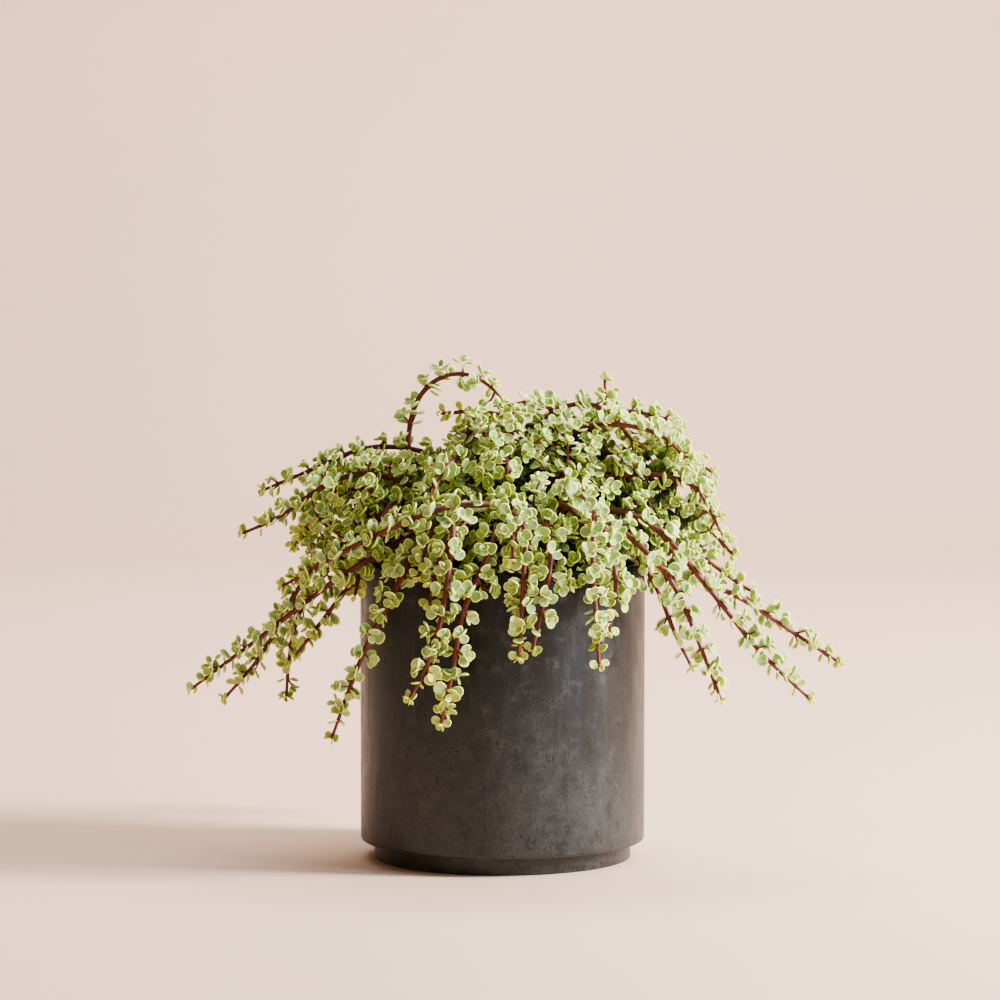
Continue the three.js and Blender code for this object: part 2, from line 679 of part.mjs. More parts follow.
function soilGeometry(stems) {
  const radius = POT_RADIUS - POT_WALL - CLEARANCE;
  const floor = POT_FLOOR + CLEARANCE;
  const rings = [1, 0.75, 0.45].map((share) => [radius * share, soilHeight(radius * share, 0)]);
  const mound = [[0, floor], [radius, floor], ...rings, [0, SOIL_CROWN_HEIGHT]];
  const solid = stems.reduce(
    (soil, stem) => soil.subtract(rootHole(stem)),
    toSolid(latheSolid(mound, SOIL_SEGMENTS)),
  );
  return toGeometry(solid);
}

// ---- the whole plant ------------------------------------------------------------------------

const familyStems = STEM_FAMILIES.flatMap((family, index) => (
  familyPaths(family, index).map((path, i) => [`${family.name}_${i + 1}`, path])
));
const namedPaths = [...Object.entries(PLACED_STEMS), ...familyStems];
const curves = rootStems(namedPaths.map(([, path]) => path)).map(samplePath);
spreadStems(curves);

const stems = curves.map((samples, index) => {
  const random = randomStream(LEAF_SEED + index);
  const stem = { name: namedPaths[index][0], ...measureStem(samples) };
  stem.roll = 2 * Math.PI * random();
  const places = nodeLengths(stem, random);
  const lowest = places[places.length - 1] ?? stem.length;
  const bare = Array.from({ length: BARE_RINGS }, (_, i) => (lowest * (i + 1)) / (BARE_RINGS + 1));
  stem.allFrames = frameStem(stem, [0, ...bare, ...[...places].reverse()], stem.roll);
  addRuns(stem);
  stem.axis = axisPoints(stem);
  stem.bareFrames = stem.allFrames.slice(1, 1 + BARE_RINGS);
  stem.frames = stem.allFrames.slice(1 + BARE_RINGS).reverse();
  stem.plans = stem.frames.map((frame, rank) => planLeaves(stem, frame, rank, random));
  return stem;
});
const leaves = growLeaves(stems);

const plant = new THREE.Group();

function addPart(name, geometry, look) {
  const mesh = new THREE.Mesh(geometry, new THREE.MeshStandardMaterial(look));
  mesh.name = name;
  plant.add(mesh);
}

addPart("pot", potGeometry(), { color: 0x3b3835, roughness: 0.45, metalness: 0.1 });
addPart("soil", soilGeometry(stems), { color: 0x2a1d15, roughness: 0.95, metalness: 0 });
for (const stem of stems) {
  const grown = leaves.filter((leaf) => leaf.stem === stem);
  addPart(`stem_${stem.name}`, stemGeometry(stem, grown), LEAFY);
}

export default plant;
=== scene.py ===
"""A trailing elephant bush (variegated Portulacaria afra) in a dark cylinder pot.

The pot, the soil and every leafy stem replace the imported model's simple solids with finer pieces
of the same form. Lengths are millimetres until a mesh is made, +Z is up, and the origin is the
centre of the pot's base.
"""
import math

import bpy
import numpy as np
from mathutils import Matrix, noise


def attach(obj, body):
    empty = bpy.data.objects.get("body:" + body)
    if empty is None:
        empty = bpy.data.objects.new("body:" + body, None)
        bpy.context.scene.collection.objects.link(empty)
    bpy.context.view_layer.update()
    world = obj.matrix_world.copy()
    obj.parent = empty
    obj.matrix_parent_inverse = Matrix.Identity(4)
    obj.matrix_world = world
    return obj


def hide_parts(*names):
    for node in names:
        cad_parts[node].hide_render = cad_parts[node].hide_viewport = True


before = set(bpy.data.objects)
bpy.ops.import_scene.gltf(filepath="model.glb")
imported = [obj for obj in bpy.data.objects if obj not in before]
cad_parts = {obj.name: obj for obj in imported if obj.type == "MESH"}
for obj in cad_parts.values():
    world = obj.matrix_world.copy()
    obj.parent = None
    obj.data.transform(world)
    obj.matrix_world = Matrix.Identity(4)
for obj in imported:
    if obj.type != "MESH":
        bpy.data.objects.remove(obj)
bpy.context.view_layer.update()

MM = 0.001

# The pot and its soil, as in the CAD source.
POT_RADIUS = 85
POT_HEIGHT = 176.6
POT_WALL = 6
POT_FLOOR = 12
FOOT_RADIUS = 76.7
FOOT_HEIGHT = 10.6
LOWER_ROUND = 2.2
RIM_ROUND = 1.3
SOIL_EDGE_HEIGHT = 163
SOIL_CROWN_HEIGHT = 168
ROOT_DEPTH = 10

# Their finer forms. Soil lumps are given by width, height and place in the noise.
POT_SEGMENTS = 144
POT_WALL_STEPS = 12
CORNER_STEPS = 5
FOOT_ROUND = 0.8
FLOOR_ROUND = 3
INNER_HEIGHTS = (160, 90)
SOIL_RINGS = 34
SOIL_SEGMENTS = 120
SOIL_CLEARANCE = 0.3
SOIL_UNDERSIDE = 140
SOIL_LUMPS = ((5, 0.9, 0), (1.7, 0.5, 5))

# How the stems run, as in the CAD source.
STEM_START = 2
ROOT_FIELD_RADIUS = 64
ROOT_PULL = 0.62
RISE = (0.35, 0.35, 0.6)
SAMPLES = 48
STEM_SPACING = 7.6
SPREAD_PASSES = 40
PUSH_SHARE = 0.25
SMOOTHING_ROUNDS = 4
STIFFNESS = 0.12
HELD_SAMPLES = 5

# Each list runs from where the stem leaves the crown to its tip.
PLACED_STEMS = {
    "top_1": [[-57, 4, 232], [-56, 5, 254], [-52, 3, 272], [-40, 0, 286], [-22, -5, 290], [-6, -10, 281],
              [0, -12, 273]],
    "top_2": [[-28, -22, 240], [-22, -22, 252], [-16, -24, 261], [-7, -26, 267], [3, -28, 264]],
    "top_3": [[-10, -32, 248], [-13, -27, 260], [-22, -24, 267], [-36, -24, 266]],
    "top_4": [[42, 14, 244], [36, 12, 259], [27, 6, 270], [18, 2, 273], [3, 0, 270]],
    "top_5": [[22, -4, 255], [32, -6, 268], [53, -9, 272], [68, -14, 261], [77, -18, 249]],
    "top_6": [[60, 0, 240], [61, 0, 264], [61, 0, 287]],
    "right_1": [[40, 16, 248], [53, 16, 261], [69, 16, 267], [94, 18, 263], [108, 18, 257]],
    "right_2": [[19, -14, 241], [43, -16, 256], [61, -18, 260], [88, -22, 256], [102, -26, 247],
                [111, -28, 233]],
    "right_3": [[60, 22, 222], [71, 24, 231], [89, 26, 242], [110, 26, 239], [127, 26, 229]],
    "right_4": [[50, -22, 222], [63, -22, 228], [84, -24, 231], [110, -28, 226], [120, -30, 214],
                [129, -32, 195]],
    "right_5": [[50, -22, 210], [82, -26, 201], [104, -30, 182], [122, -30, 166], [144, -28, 156],
                [165, -25, 141], [199, -22, 119]],
    "right_6": [[60, -40, 212], [89, -48, 201], [109, -53, 179], [134, -56, 148], [151, -58, 127],
                [179, -60, 101]],
    "right_7": [[58, -56, 207], [88, -70, 183], [102, -75, 163], [112, -78, 139], [126, -80, 103]],
    "right_8": [[66, -34, 200], [89, -40, 168], [100, -43, 140], [111, -44, 118]],
    "right_9": [[50, -8, 208], [80, -13, 199], [104, -17, 186], [121, -19, 179], [136, -20, 168],
                [147, -20, 161]],
    "front_1": [[34, -45, 216], [40, -58, 222], [50, -74, 218], [53, -90, 207], [51, -100, 188],
                [53, -104, 158], [55, -105, 125]],
    "front_2": [[50, -55, 206], [58, -68, 203], [64, -82, 183], [65, -87, 166], [61, -89, 143]],
    "front_3": [[3, -60, 208], [6, -74, 210], [12, -90, 202], [12, -101, 181], [11, -103, 157],
                [9, -104, 130]],
    "front_4": [[20, -62, 204], [24, -78, 205], [28, -94, 190], [25, -101, 168], [17, -104, 134]],
    "front_5": [[2, -52, 202], [-2, -75, 206], [-8, -94, 187], [-23, -103, 156], [-27, -105, 128],
                [-35, -107, 92]],
    "front_6": [[-26, -68, 208], [-29, -88, 200], [-31, -100, 178], [-35, -106, 150], [-44, -109, 122],
                [-53, -111, 107]],
    "front_7": [[-20, -62, 209], [-27, -80, 205], [-35, -92, 188], [-42, -97, 159]],
    "left_1": [[-34, -50, 206], [-44, -66, 203], [-55, -83, 180], [-67, -89, 157], [-81, -92, 129],
               [-98, -93, 82]],
    "left_2": [[30, -50, 206], [11, -62, 212], [-16, -74, 214], [-49, -78, 208], [-81, -74, 194],
               [-112, -64, 176], [-128, -60, 167]],
    "left_3": [[-25, -42, 206], [-45, -47, 201], [-77, -55, 181], [-110, -57, 161], [-138, -56, 139],
               [-161, -54, 122], [-182, -52, 106]],
    "left_4": [[-52, -40, 203], [-66, -46, 194], [-84, -50, 173], [-100, -48, 153], [-121, -44, 125]],
    "left_5": [[-40, -30, 212], [-66, -28, 207], [-93, -28, 190], [-120, -26, 166], [-137, -22, 132],
               [-148, -20, 116], [-165, -18, 97]],
    "left_6": [[-60, 8, 196], [-80, 8, 193], [-96, 6, 180], [-112, 5, 163], [-126, 6, 136], [-130, 8, 95]],
    "left_7": [[-37, 8, 236], [-55, 6, 244], [-82, 6, 245], [-106, 6, 235], [-144, 6, 219]],
    "left_8": [[-45, -14, 218], [-64, -12, 227], [-86, -14, 231], [-108, -16, 222], [-131, -17, 205],
               [-154, -18, 195]],
    "left_9": [[-45, 18, 210], [-62, 18, 219], [-87, 20, 221], [-105, 21, 211], [-117, 22, 197],
               [-121, 22, 188]],
}

# Families of stems. Angles are in degrees; the crest and tip are ranges of radius and height.
STEM_FAMILIES = [
    {"name": "back", "count": 11, "angles": (14, 166),
     "crest": ((62, 84), (218, 240)), "tip": ((118, 160), (88, 196)), "side_tip": 184},
    {"name": "crown", "count": 8, "angles": (0, 315),
     "crest": ((26, 44), (226, 250)), "tip": ((60, 84), (206, 236))},
    {"name": "skirt", "count": 5, "angles": (205, 338),
     "crest": ((60, 70), (206, 218)), "tip": ((98, 108), (160, 184))},
]
FAMILY_JITTER = 0.4
FAMILY_CURL = 26
FAMILY_START = 0.6
FAMILY_START_DROP = 12
FAMILY_SHOULDER = (0.62, 0.42)
FAMILY_TURNS = (0, 0.2, 0.6, 1)

# Bark. Each radius is given at its share of the stem's length.
BARK_SIDES = 8
TWIG_SIDES = 5
TWIG_AGE = (0.2, 0)
BARK_STEP = 3.2
SHORTEST_BARK_STEP = 0.25
BARK_RADII = ((0, 2.3), (0.35, 1.95), (0.75, 1.45), (1, 0.85))
NODE_RINGS = (-1.0, 0, 1.0)
NODE_SWELLING = 0.22
NODE_SWELLING_REACH = 1.2
ROUND_END = 0.8

# Leaves. A blade's sizes are shares of its length, and ranges are (least, most). Reaches run from
# where an effect starts to where it is full, in distances from the stem's tip.
GROWTH_SEED = 11
BARE_LENGTH = 24
NODE_SPACING = 13.6
NODE_SPACING_AT_TIP = 9
NODE_SHIFT = 0.8
LAST_NODE = 2.2
LEAF_LENGTH = 8.3
LEAF_SIZES = (0.88, 1.05)
LEAF_LEANS = (0.1, 0.55)
LEAF_BENDS = (-0.05, 0.12)
LEAF_ROLL = 0.6
LEAF_ROOT = 0.8
LEAF_TO_LIGHT = 0.1
LEAF_FACES_LIGHT = (0.6, 0.95)
TIP_LEAF_SHARE = 0.7
TIP_LEAF_REACH = (24, 2)
YOUTH_REACH = (34, 4)
YOUTH = 0.7
YOUTH_RANGE = 0.12
TINTS = (0.35, 1)
BLADE_WIDTH = 0.98
BLADE_CENTRE = 0.57
BLADE_REACH = 0.45
BLADE_TEST_ANGLES = (-1.9, -1.0, -0.35, 0.35, 1.0, 1.9)
LARGE_BLADE_LENGTH = 5.2

# The blade's form. Each ring is its share of the reach and its height.
BLADE_RINGS = ((0.5, 0.018), (0.86, 0.08), (1.0, 0.04), (0.7, -0.085))
BLADE_TIP_REACH = 0.43
BLADE_BASE_REACH = 0.46
BLADE_HALF_WIDTH = 0.47
BLADE_FLARE = 0.035
BLADE_PINCH = 0.11
BLADE_KEEL = -0.12
BLADE_BEND_START = 0.35

# The side that leaves turn to: up and outwards, and less up where the plant hangs low.
OUTWARD_LIGHT = 0.9
OUTWARD_RADIUS = 50
UPWARD_LIGHT = (0.85, 0.5)
HANGING_HEIGHTS = (215, 150)
LIGHT_WOBBLE = 0.3

# The share of axils in which a rosette grows.
FULLNESS = 0.95
LEAST_FULLNESS = 0.15
FULLNESS_REACH = (4, 24)

# Rosettes. Each pair of leaves is smaller, steeper and younger than the one below it. A spur
# carries one, and points to its leaf's side, along the stem and to the light.
ROSETTE_STEP = 1.1
ROSETTE_SIZES = (1, 0.74, 0.5)
ROSETTE_SIZE_RANGE = (0.92, 1.06)
ROSETTE_RISE = (0.32, 0.35)
ROSETTE_WOBBLE = 0.12
ROSETTE_YOUTH = 0.22
ROSETTE_TINT_SHARE = 0.4
ROSETTE_FACING = (0.9, 0.75)
THREE_PAIR_SHARE = 0.35
SPUR_LENGTHS = (1.6, 5.5)
SPUR_SIZES = (0.75, 0.95)
SPUR_RADII = (0.6, 0.48)
SPUR_AXIL = 0.8
SPUR_POINTING = (0.75, 0.55, 0.55)
SPUR_WOBBLE = 0.2

# How new growth keeps clear of what stands already.
LEAF_TRIES = 4
TRY_LEAN = 0.22
TRY_TURN = 0.3
LEAF_MARGIN = 0.85
LEAF_FLAT_SHARE = 0.92
LEAF_CENTRE_SHARE = 0.42
BARK_MARGIN = 0.6
BARK_SEARCH = 14
TWIG_BARK_MARGIN = 1.4
TWIG_LEAF_MARGIN = 0.9
TWIG_SEARCH = 30
POT_MARGIN = 1.4
AXIS_STEP = 2

# The mounds of side shoots that make the crown: centre, reaches and number of places tried.
# A side shoot bows through a share of its way, raised along its stem and lowered.
CROWN_MOUNDS = (
    ((0, 0, 166), (104, 102, 86), 3000),
    ((-4, -14, 244), (32, 34, 28), 500),
    ((20, -10, 242), (46, 34, 30), 600),
    ((60, 4, 232), (52, 40, 34), 600),
    ((76, 6, 244), (34, 32, 22), 500),
    ((90, 4, 204), (36, 48, 42), 600),
    ((-72, 2, 206), (54, 46, 42), 600),
)
CROWN_CORE = 0.45
CROWN_LOWEST = 164
CROWN_GAP = 7.2
SIDE_SHOOT = (9, 34)
SIDE_SHOOT_RISE = (0.1, 0.9)
SIDE_SHOOT_RADII = (0.85, 0.55)
SIDE_SHOOT_ROOM = 0.75
SIDE_SHOOT_BOW = (0.45, 0.1, 0.05)
SIDE_SHOOT_SIZE = 0.78
SIDE_SHOOT_TO_LIGHT = 0.6
SIDE_SHOOT_LEAVES = (0.85, 1.0)
SIDE_NODE_SPACING = 7.5
SIDE_TOP_NODE = 7.5
SIDE_BARE_LENGTH = 3.5
SIDE_TEST_POINTS = 8
STEM_FOOT = 16
PLACES_SEARCHED = 60
STEMS_TRIED = 3

# Painted shade: a leaf's colour is darkened between these numbers of leaves outside it.
CROWDING_REACH = 14
UNCROWDED = 16
CROWDED = 56


# ---- arithmetic ----

def unit(vector):
    return vector / math.sqrt(vector @ vector)


def norms(vectors):
    return np.sqrt((vectors ** 2).sum(-1))


def mix(a, b, share):
    return a + (b - a) * share


def smooth_step(value, low, high):
    share = min(max((value - low) / (high - low), 0), 1)
    return share * share * (3 - 2 * share)


# ---- where the stems run ----

def random_stream(seed):
    """The numbers from 0 to 1 that the CAD source draws for a seed."""
    state = ((seed + 1) * 2654435761) % 2 ** 32
    while True:
        state = (state * 1664525 + 1013904223) % 2 ** 32
        yield state / 2 ** 32


def family_paths(family, seed):
    """The paths of a family's stems, from the same draws as in the CAD source."""
    stream = random_stream(seed)

    def draw(low, high):
        return mix(low, high, next(stream))

    first, last = family["angles"]
    step = (last - first) / (family["count"] - 1)
    paths = []
    for index in range(family["count"]):
        azimuth = first + step * (index + FAMILY_JITTER * (next(stream) - 0.5))
        curl = FAMILY_CURL * (next(stream) - 0.5)
        crest = [draw(*limits) for limits in family["crest"]]
        tip = [draw(*limits) for limits in family["tip"]]
        if "side_tip" in family:
            tip[1] = mix(tip[1], family["side_tip"], math.cos(math.radians(azimuth)) ** 2)
        shoulder = [mix(a, b, share) for a, b, share in zip(crest, tip, FAMILY_SHOULDER)]
        start = (FAMILY_START * crest[0], crest[1] - FAMILY_START_DROP)
        path = []
        for (radius, height), turn in zip((start, crest, shoulder, tip), FAMILY_TURNS):
            angle = math.radians(azimuth + curl * turn)
            path.append([radius * math.cos(angle), radius * math.sin(angle), height])
        paths.append(path)
    return paths


def soil_height(x, y):
    share = (x * x + y * y) / (POT_RADIUS - POT_WALL) ** 2
    return mix(SOIL_CROWN_HEIGHT, SOIL_EDGE_HEIGHT, share)


def share_roots(wanted):
    """Root places, spread as seeds are in a sunflower, traded in pairs until each is near."""
    golden_angle = math.pi * (3 - math.sqrt(5))
    count = len(wanted)
    places = []
    for index in range(count):
        radius = ROOT_FIELD_RADIUS * math.sqrt((index + 0.5) / count)
        angle = index * golden_angle
        places.append((radius * math.cos(angle), radius * math.sin(angle)))

    def away(a, b):
        return (places[a][0] - wanted[b][0]) ** 2 + (places[a][1] - wanted[b][1]) ** 2

    trades = 1
    while trades:
        trades = 0
        for a in range(count):
            for b in range(a + 1, count):
                if away(a, b) + away(b, a) < away(a, a) + away(b, b) - 1e-6:
                    places[a], places[b] = places[b], places[a]
                    trades += 1
    return places


def root_stems(paths):
    """Leads each path up from its own root in the soil."""
    roots = share_roots([(path[0][0] * ROOT_PULL, path[0][1] * ROOT_PULL) for path in paths])
    rooted = []
    for path, (x, y) in zip(paths, roots):
        root = np.array([x, y, soil_height(x, y) + STEM_START])
        path = np.array(path, float)
        rooted.append(np.vstack([root, mix(root, path[0], np.array(RISE)), path]))
    return rooted


def sample_path(path):
    """A Catmull-Rom curve through a path's points, as evenly numbered samples."""
    points = np.vstack([2 * path[0] - path[1], path, 2 * path[-1] - path[-2]])
    spans = len(path) - 1
    samples = []
    for i in range(SAMPLES):
        place = spans * i / (SAMPLES - 1)
        span = min(int(place), spans - 1)
        t = place - span
        before, start, end, after = points[span:span + 4]
        leave, arrive = (end - before) / 2, (after - start) / 2
        square = -3 * start + 3 * end - 2 * leave - arrive
        cube = 2 * start - 2 * end + leave + arrive
        samples.append(start + leave * t + square * t ** 2 + cube * t ** 3)
    return np.array(samples)


def spread_stems(stems):
    """Bends neighbouring stems clear of each other; the roots stay where they are."""
    count = len(stems)
    owners = np.repeat(np.arange(count), SAMPLES)
    freedom = np.minimum(np.arange(SAMPLES) / HELD_SAMPLES, 1)[None, :, None]
    for _ in range(SPREAD_PASSES):
        points = stems.reshape(-1, 3)
        squares = (points ** 2).sum(1)
        distances = squares[:, None] + squares[None, :] - 2 * points @ points.T
        near = np.argwhere(distances < STEM_SPACING ** 2)
        a, b = near[owners[near[:, 0]] < owners[near[:, 1]]].T
        gaps = points[a] - points[b]
        lengths = np.maximum(norms(gaps), 1e-6)[:, None]
        shoves = gaps * PUSH_SHARE * (STEM_SPACING - lengths) / lengths
        pushes = np.zeros_like(points)
        np.add.at(pushes, a, shoves)
        np.add.at(pushes, b, -shoves)
        smooth = pushes.reshape(count, SAMPLES, 3)
        for _ in range(SMOOTHING_ROUNDS):
            before = np.concatenate([smooth[:, :1], smooth[:, :-1]], axis=1)
            after = np.concatenate([smooth[:, 1:], smooth[:, -1:]], axis=1)
            smooth = smooth / 2 + (before + after) / 4
        bends = np.zeros_like(stems)
        bends[:, 1:-1] = (stems[:, :-2] + stems[:, 2:]) / 2 - stems[:, 1:-1]
        stems = stems + (smooth + bends * STIFFNESS) * freedom
    return stems


class Line:
    """A polyline, with its point and direction at any length along it."""

    def __init__(self, points):
        self.points = np.array(points, float)
        steps = norms(np.diff(self.points, axis=0))
        self.lengths = np.concatenate([[0], np.cumsum(steps)])
        self.length = self.lengths[-1]

    def at(self, length):
        return np.array([np.interp(length, self.lengths, axis) for axis in self.points.T])

    def direction(self, length, reach=4):
        ahead = self.at(min(length + reach, self.length))
        behind = self.at(max(length - reach, 0))
        return unit(ahead - behind)


# ---- leaves and side shoots ----

class Leaf:
    """A blade: where it starts, which way it points and faces, and how it looks."""

    def __init__(self, base, pointing, facing, length, tone_and_shade, youth, bend):
        self.base = base
        self.pointing = unit(pointing)
        self.facing = unit(facing - self.pointing * (facing @ self.pointing))
        self.across = np.cross(self.facing, self.pointing)
        self.length = length
        self.tone_and_shade = tone_and_shade
        self.youth = youth
        self.bend = bend
        self.centre = base + self.pointing * length * BLADE_CENTRE
        self.reach = length * BLADE_REACH

    def outer_points(self):
        """Points round the blade's outer edge."""
        return np.array([
            self.centre + (self.pointing * math.cos(angle) + self.across * math.sin(angle))
            * self.reach
            for angle in BLADE_TEST_ANGLES
        ])


def touch_blades(points, centres, facings, reaches, margin):
    """Whether any point lies over or under a round blade, within a margin of it."""
    offset = points - centres[:, None]
    height = (offset * facings[:, None]).sum(2)
    flat = np.sqrt(np.maximum((offset ** 2).sum(2) - height ** 2, 0))
    return ((abs(height) < margin) & (flat < reaches[:, None])).any()


class Room:
    """What stands already, for keeping new leaves and shoots clear of it."""

    def __init__(self, capacity=20000):
        self.axis = np.zeros((0, 4))
        self.owners = []
        self.count = 0
        self.centres = np.zeros((capacity, 3))
        self.facings = np.zeros((capacity, 3))
        self.reaches = np.zeros(capacity)
        self.outers = np.zeros((capacity, len(BLADE_TEST_ANGLES), 3))
        self.groups = np.zeros(capacity, int)

    def add_line(self, line, radius_at, owner=None):
        places = np.arange(0, line.length, AXIS_STEP)
        rows = [[*line.at(place), radius_at(place / line.length)] for place in places]
        self.axis = np.vstack([self.axis, rows])
        self.owners += [(owner, place) for place in places]

    def add_leaf(self, leaf, outer, group):
        i = self.count
        self.groups[i] = group
        self.centres[i] = leaf.centre
        self.facings[i] = leaf.facing
        self.reaches[i] = leaf.reach
        self.outers[i] = outer
        self.count += 1

    def clear_of_bark(self, points, margin):
        near = self.axis[norms(self.axis[:, :3] - points[0]) < BARK_SEARCH]
        gaps = points[:, None, :] - near[None, :, :3]
        return (norms(gaps) > near[None, :, 3] + margin).all()

    def clear_of_leaves(self, leaf, outer, group):
        """Whether a leaf is clear of all but the other leaves of its own rosette."""
        gaps = norms(self.centres[:self.count] - leaf.centre)
        reaches = self.reaches[:self.count] + leaf.reach
        near = np.nonzero((gaps < reaches) & (self.groups[:self.count] != group))[0]
        if (gaps[near] < LEAF_CENTRE_SHARE * reaches[near]).any():
            return False
        return not (
            touch_blades(outer[None], self.centres[near], self.facings[near],
                         LEAF_FLAT_SHARE * self.reaches[near], LEAF_MARGIN)
            or touch_blades(self.outers[near], leaf.centre[None], leaf.facing[None],
                            np.array([LEAF_FLAT_SHARE * leaf.reach]), LEAF_MARGIN))

    def crosses_leaves(self, points):
        gaps = norms(self.centres[:self.count] - points[len(points) // 2])
        near = np.nonzero(gaps < TWIG_SEARCH)[0]
        return touch_blades(points[None], self.centres[near], self.facings[near],
                            self.reaches[near], TWIG_LEAF_MARGIN)


def in_pot_or_soil(points):
    radius = np.hypot(points[:, 0], points[:, 1])
    height = points[:, 2]
    inside = radius < POT_RADIUS - POT_WALL - POT_MARGIN
    soil = inside & (height < soil_height(points[:, 0], points[:, 1]) + POT_MARGIN)
    wall = ~inside & (radius < POT_RADIUS + POT_MARGIN) & (height < POT_HEIGHT + POT_MARGIN)
    return (soil | wall).any()


def open_side(point):
    """The way out of the plant: up, and away from its middle."""
    radius = max(math.hypot(point[0], point[1]), 1)
    outward = OUTWARD_LIGHT * min(radius / OUTWARD_RADIUS, 1)
    low = smooth_step(point[2], *HANGING_HEIGHTS)
    return np.array([
        outward * point[0] / radius,
        outward * point[1] / radius,
        mix(*UPWARD_LIGHT, low),
    ])


def light_at(point, random):
    """The direction that a leaf turns to."""
    return unit(open_side(point) + random.uniform(-LIGHT_WOBBLE, LIGHT_WOBBLE, 3))


class Shoot:
    """The bark and leaves that grow together as one piece."""

    def __init__(self, room, random):
        self.room = room
        self.random = random
        self.leaves = []
        self.tubes = []

    def try_leaf(self, base, pointing, facing, length, tone_and_shade, youth, group=-1):
        """Grows a leaf if it finds room, turned a little further at each try."""
        random = self.random
        for attempt in range(LEAF_TRIES):
            lean = random.uniform(-TRY_LEAN, TRY_LEAN, 3) * attempt
            turn = random.uniform(-TRY_TURN, TRY_TURN, 3) * attempt
            leaf = Leaf(base, unit(pointing) + lean, unit(facing) + turn, length,
                        tone_and_shade, youth, random.uniform(*LEAF_BENDS))
            outer = leaf.outer_points()
            if (not in_pot_or_soil(outer)
                    and self.room.clear_of_bark(outer, BARK_MARGIN)
                    and self.room.clear_of_leaves(leaf, outer, group)):
                # A leaf of no rosette stands as group 0, so that all others are tested with it.
                self.room.add_leaf(leaf, outer, max(group, 0))
                self.leaves.append(leaf)
                return

    def rosette(self, start, direction, side, light, size, pairs, youth):
        """Pairs of leaves round the end of a shoot, each smaller and set across the last."""
        random = self.random
        tone_and_shade = random.uniform(*TINTS)
        group = self.room.count + 1
        across = unit(np.cross(direction, side))
        forwards, to_light = ROSETTE_FACING
        for pair in range(pairs):
            base = start + direction * ROSETTE_STEP * pair
            length = size * ROSETTE_SIZES[pair] * random.uniform(*ROSETTE_SIZE_RANGE)
            rise = ROSETTE_RISE[0] + ROSETTE_RISE[1] * pair
            for sign in (1, -1):
                wobble = random.uniform(-ROSETTE_WOBBLE, ROSETTE_WOBBLE, 3)
                pointing = across * sign + direction * rise + wobble
                facing = direction * forwards + light * to_light
                self.try_leaf(
                    base, pointing, facing, length,
                    mix(tone_and_shade, random.uniform(*TINTS), ROSETTE_TINT_SHARE),
                    min(youth + ROSETTE_YOUTH * pair, 1), group)
            across = unit(np.cross(direction, across))

    def side_shoot(self, start, along, target):
        """A leafy side shoot that leaves its stem forwards and ends at the target."""
        random = self.random
        gap = target - start
        reach = math.sqrt(gap @ gap)
        way, raised, lowered = SIDE_SHOOT_BOW
        middle = start + gap * way + along * reach * raised - np.array([0, 0, reach * lowered])
        line = Line(sample_path(np.array([start, middle, target]))[::4])
        places = np.linspace(SIDE_BARE_LENGTH, line.length, SIDE_TEST_POINTS)
        points = np.array([line.at(place) for place in places])
        if (in_pot_or_soil(points)
                or not self.room.clear_of_bark(points[1:], TWIG_BARK_MARGIN)
                or self.room.crosses_leaves(points)):
            return False
        self.room.add_line(line, lambda share: SIDE_SHOOT_ROOM)
        self.tubes.append((line, SIDE_SHOOT_RADII))
        rank = random.integers(0, 2)
        light = light_at(target, random)
        tip = line.direction(line.length)
        side = unit(np.cross(tip, light))
        self.rosette(line.points[-1] - tip * 0.4, unit(tip + light * SIDE_SHOOT_TO_LIGHT),
                     side, light, LEAF_LENGTH * SIDE_SHOOT_SIZE, pairs=3, youth=0.15)
        place = line.length - SIDE_TOP_NODE
        while place > SIDE_BARE_LENGTH:
            size = LEAF_LENGTH * random.uniform(*SIDE_SHOOT_LEAVES)
            self.node(line, place, rank, radius=0.7, size=size, youth=0.05, fullness=0.45)
            place -= SIDE_NODE_SPACING
            rank += 1
        return True

    def node(self, line, length, parity, radius, size, youth, fullness):
        """An opposite pair of leaves, with a rosette on a short spur in most axils."""
        random = self.random
        centre = line.at(length)
        along = line.direction(length)
        light = light_at(centre, random)
        towards = light - along * (light @ along)
        towards = unit(towards + 1e-3)
        sideways = np.cross(along, towards)
        roll = parity * math.pi / 2 + random.uniform(-LEAF_ROLL, LEAF_ROLL)
        for sign in (1, -1):
            side = sign * (math.cos(roll) * sideways + math.sin(roll) * towards)
            start = centre + side * radius * LEAF_ROOT
            lean = random.uniform(*LEAF_LEANS)
            self.try_leaf(
                start, side + along * lean + light * LEAF_TO_LIGHT,
                mix(along, light, random.uniform(*LEAF_FACES_LIGHT)),
                size * random.uniform(*LEAF_SIZES),
                random.uniform(*TINTS), youth)
            if fullness > random.uniform(0, 1):
                sideways_share, forward_share, light_share = SPUR_POINTING
                direction = unit(
                    side * sideways_share + along * forward_share + light * light_share
                    + random.uniform(-SPUR_WOBBLE, SPUR_WOBBLE, 3))
                pairs = 3 if random.uniform(0, 1) < THREE_PAIR_SHARE else 2
                spur_size = size * random.uniform(*SPUR_SIZES)
                foot = start + along * SPUR_AXIL
                end = foot + direction * random.uniform(*SPUR_LENGTHS)
                self.tubes.append((Line([foot, end]), SPUR_RADII))
                self.rosette(end, direction, side, light, spur_size, pairs, youth)


def crown_targets(random):
    """Points all through the crown's outer layers, where leaves catch the light."""
    targets = []
    for centre, reaches, count in CROWN_MOUNDS:
        for _ in range(count):
            direction = unit(random.normal(0, 1, 3))
            depth = random.uniform(CROWN_CORE, 1) ** 0.5
            targets.append(np.array(centre) + direction * np.array(reaches) * depth)
    order = random.permutation(len(targets))
    return [targets[i] for i in order if targets[i][2] > CROWN_LOWEST]


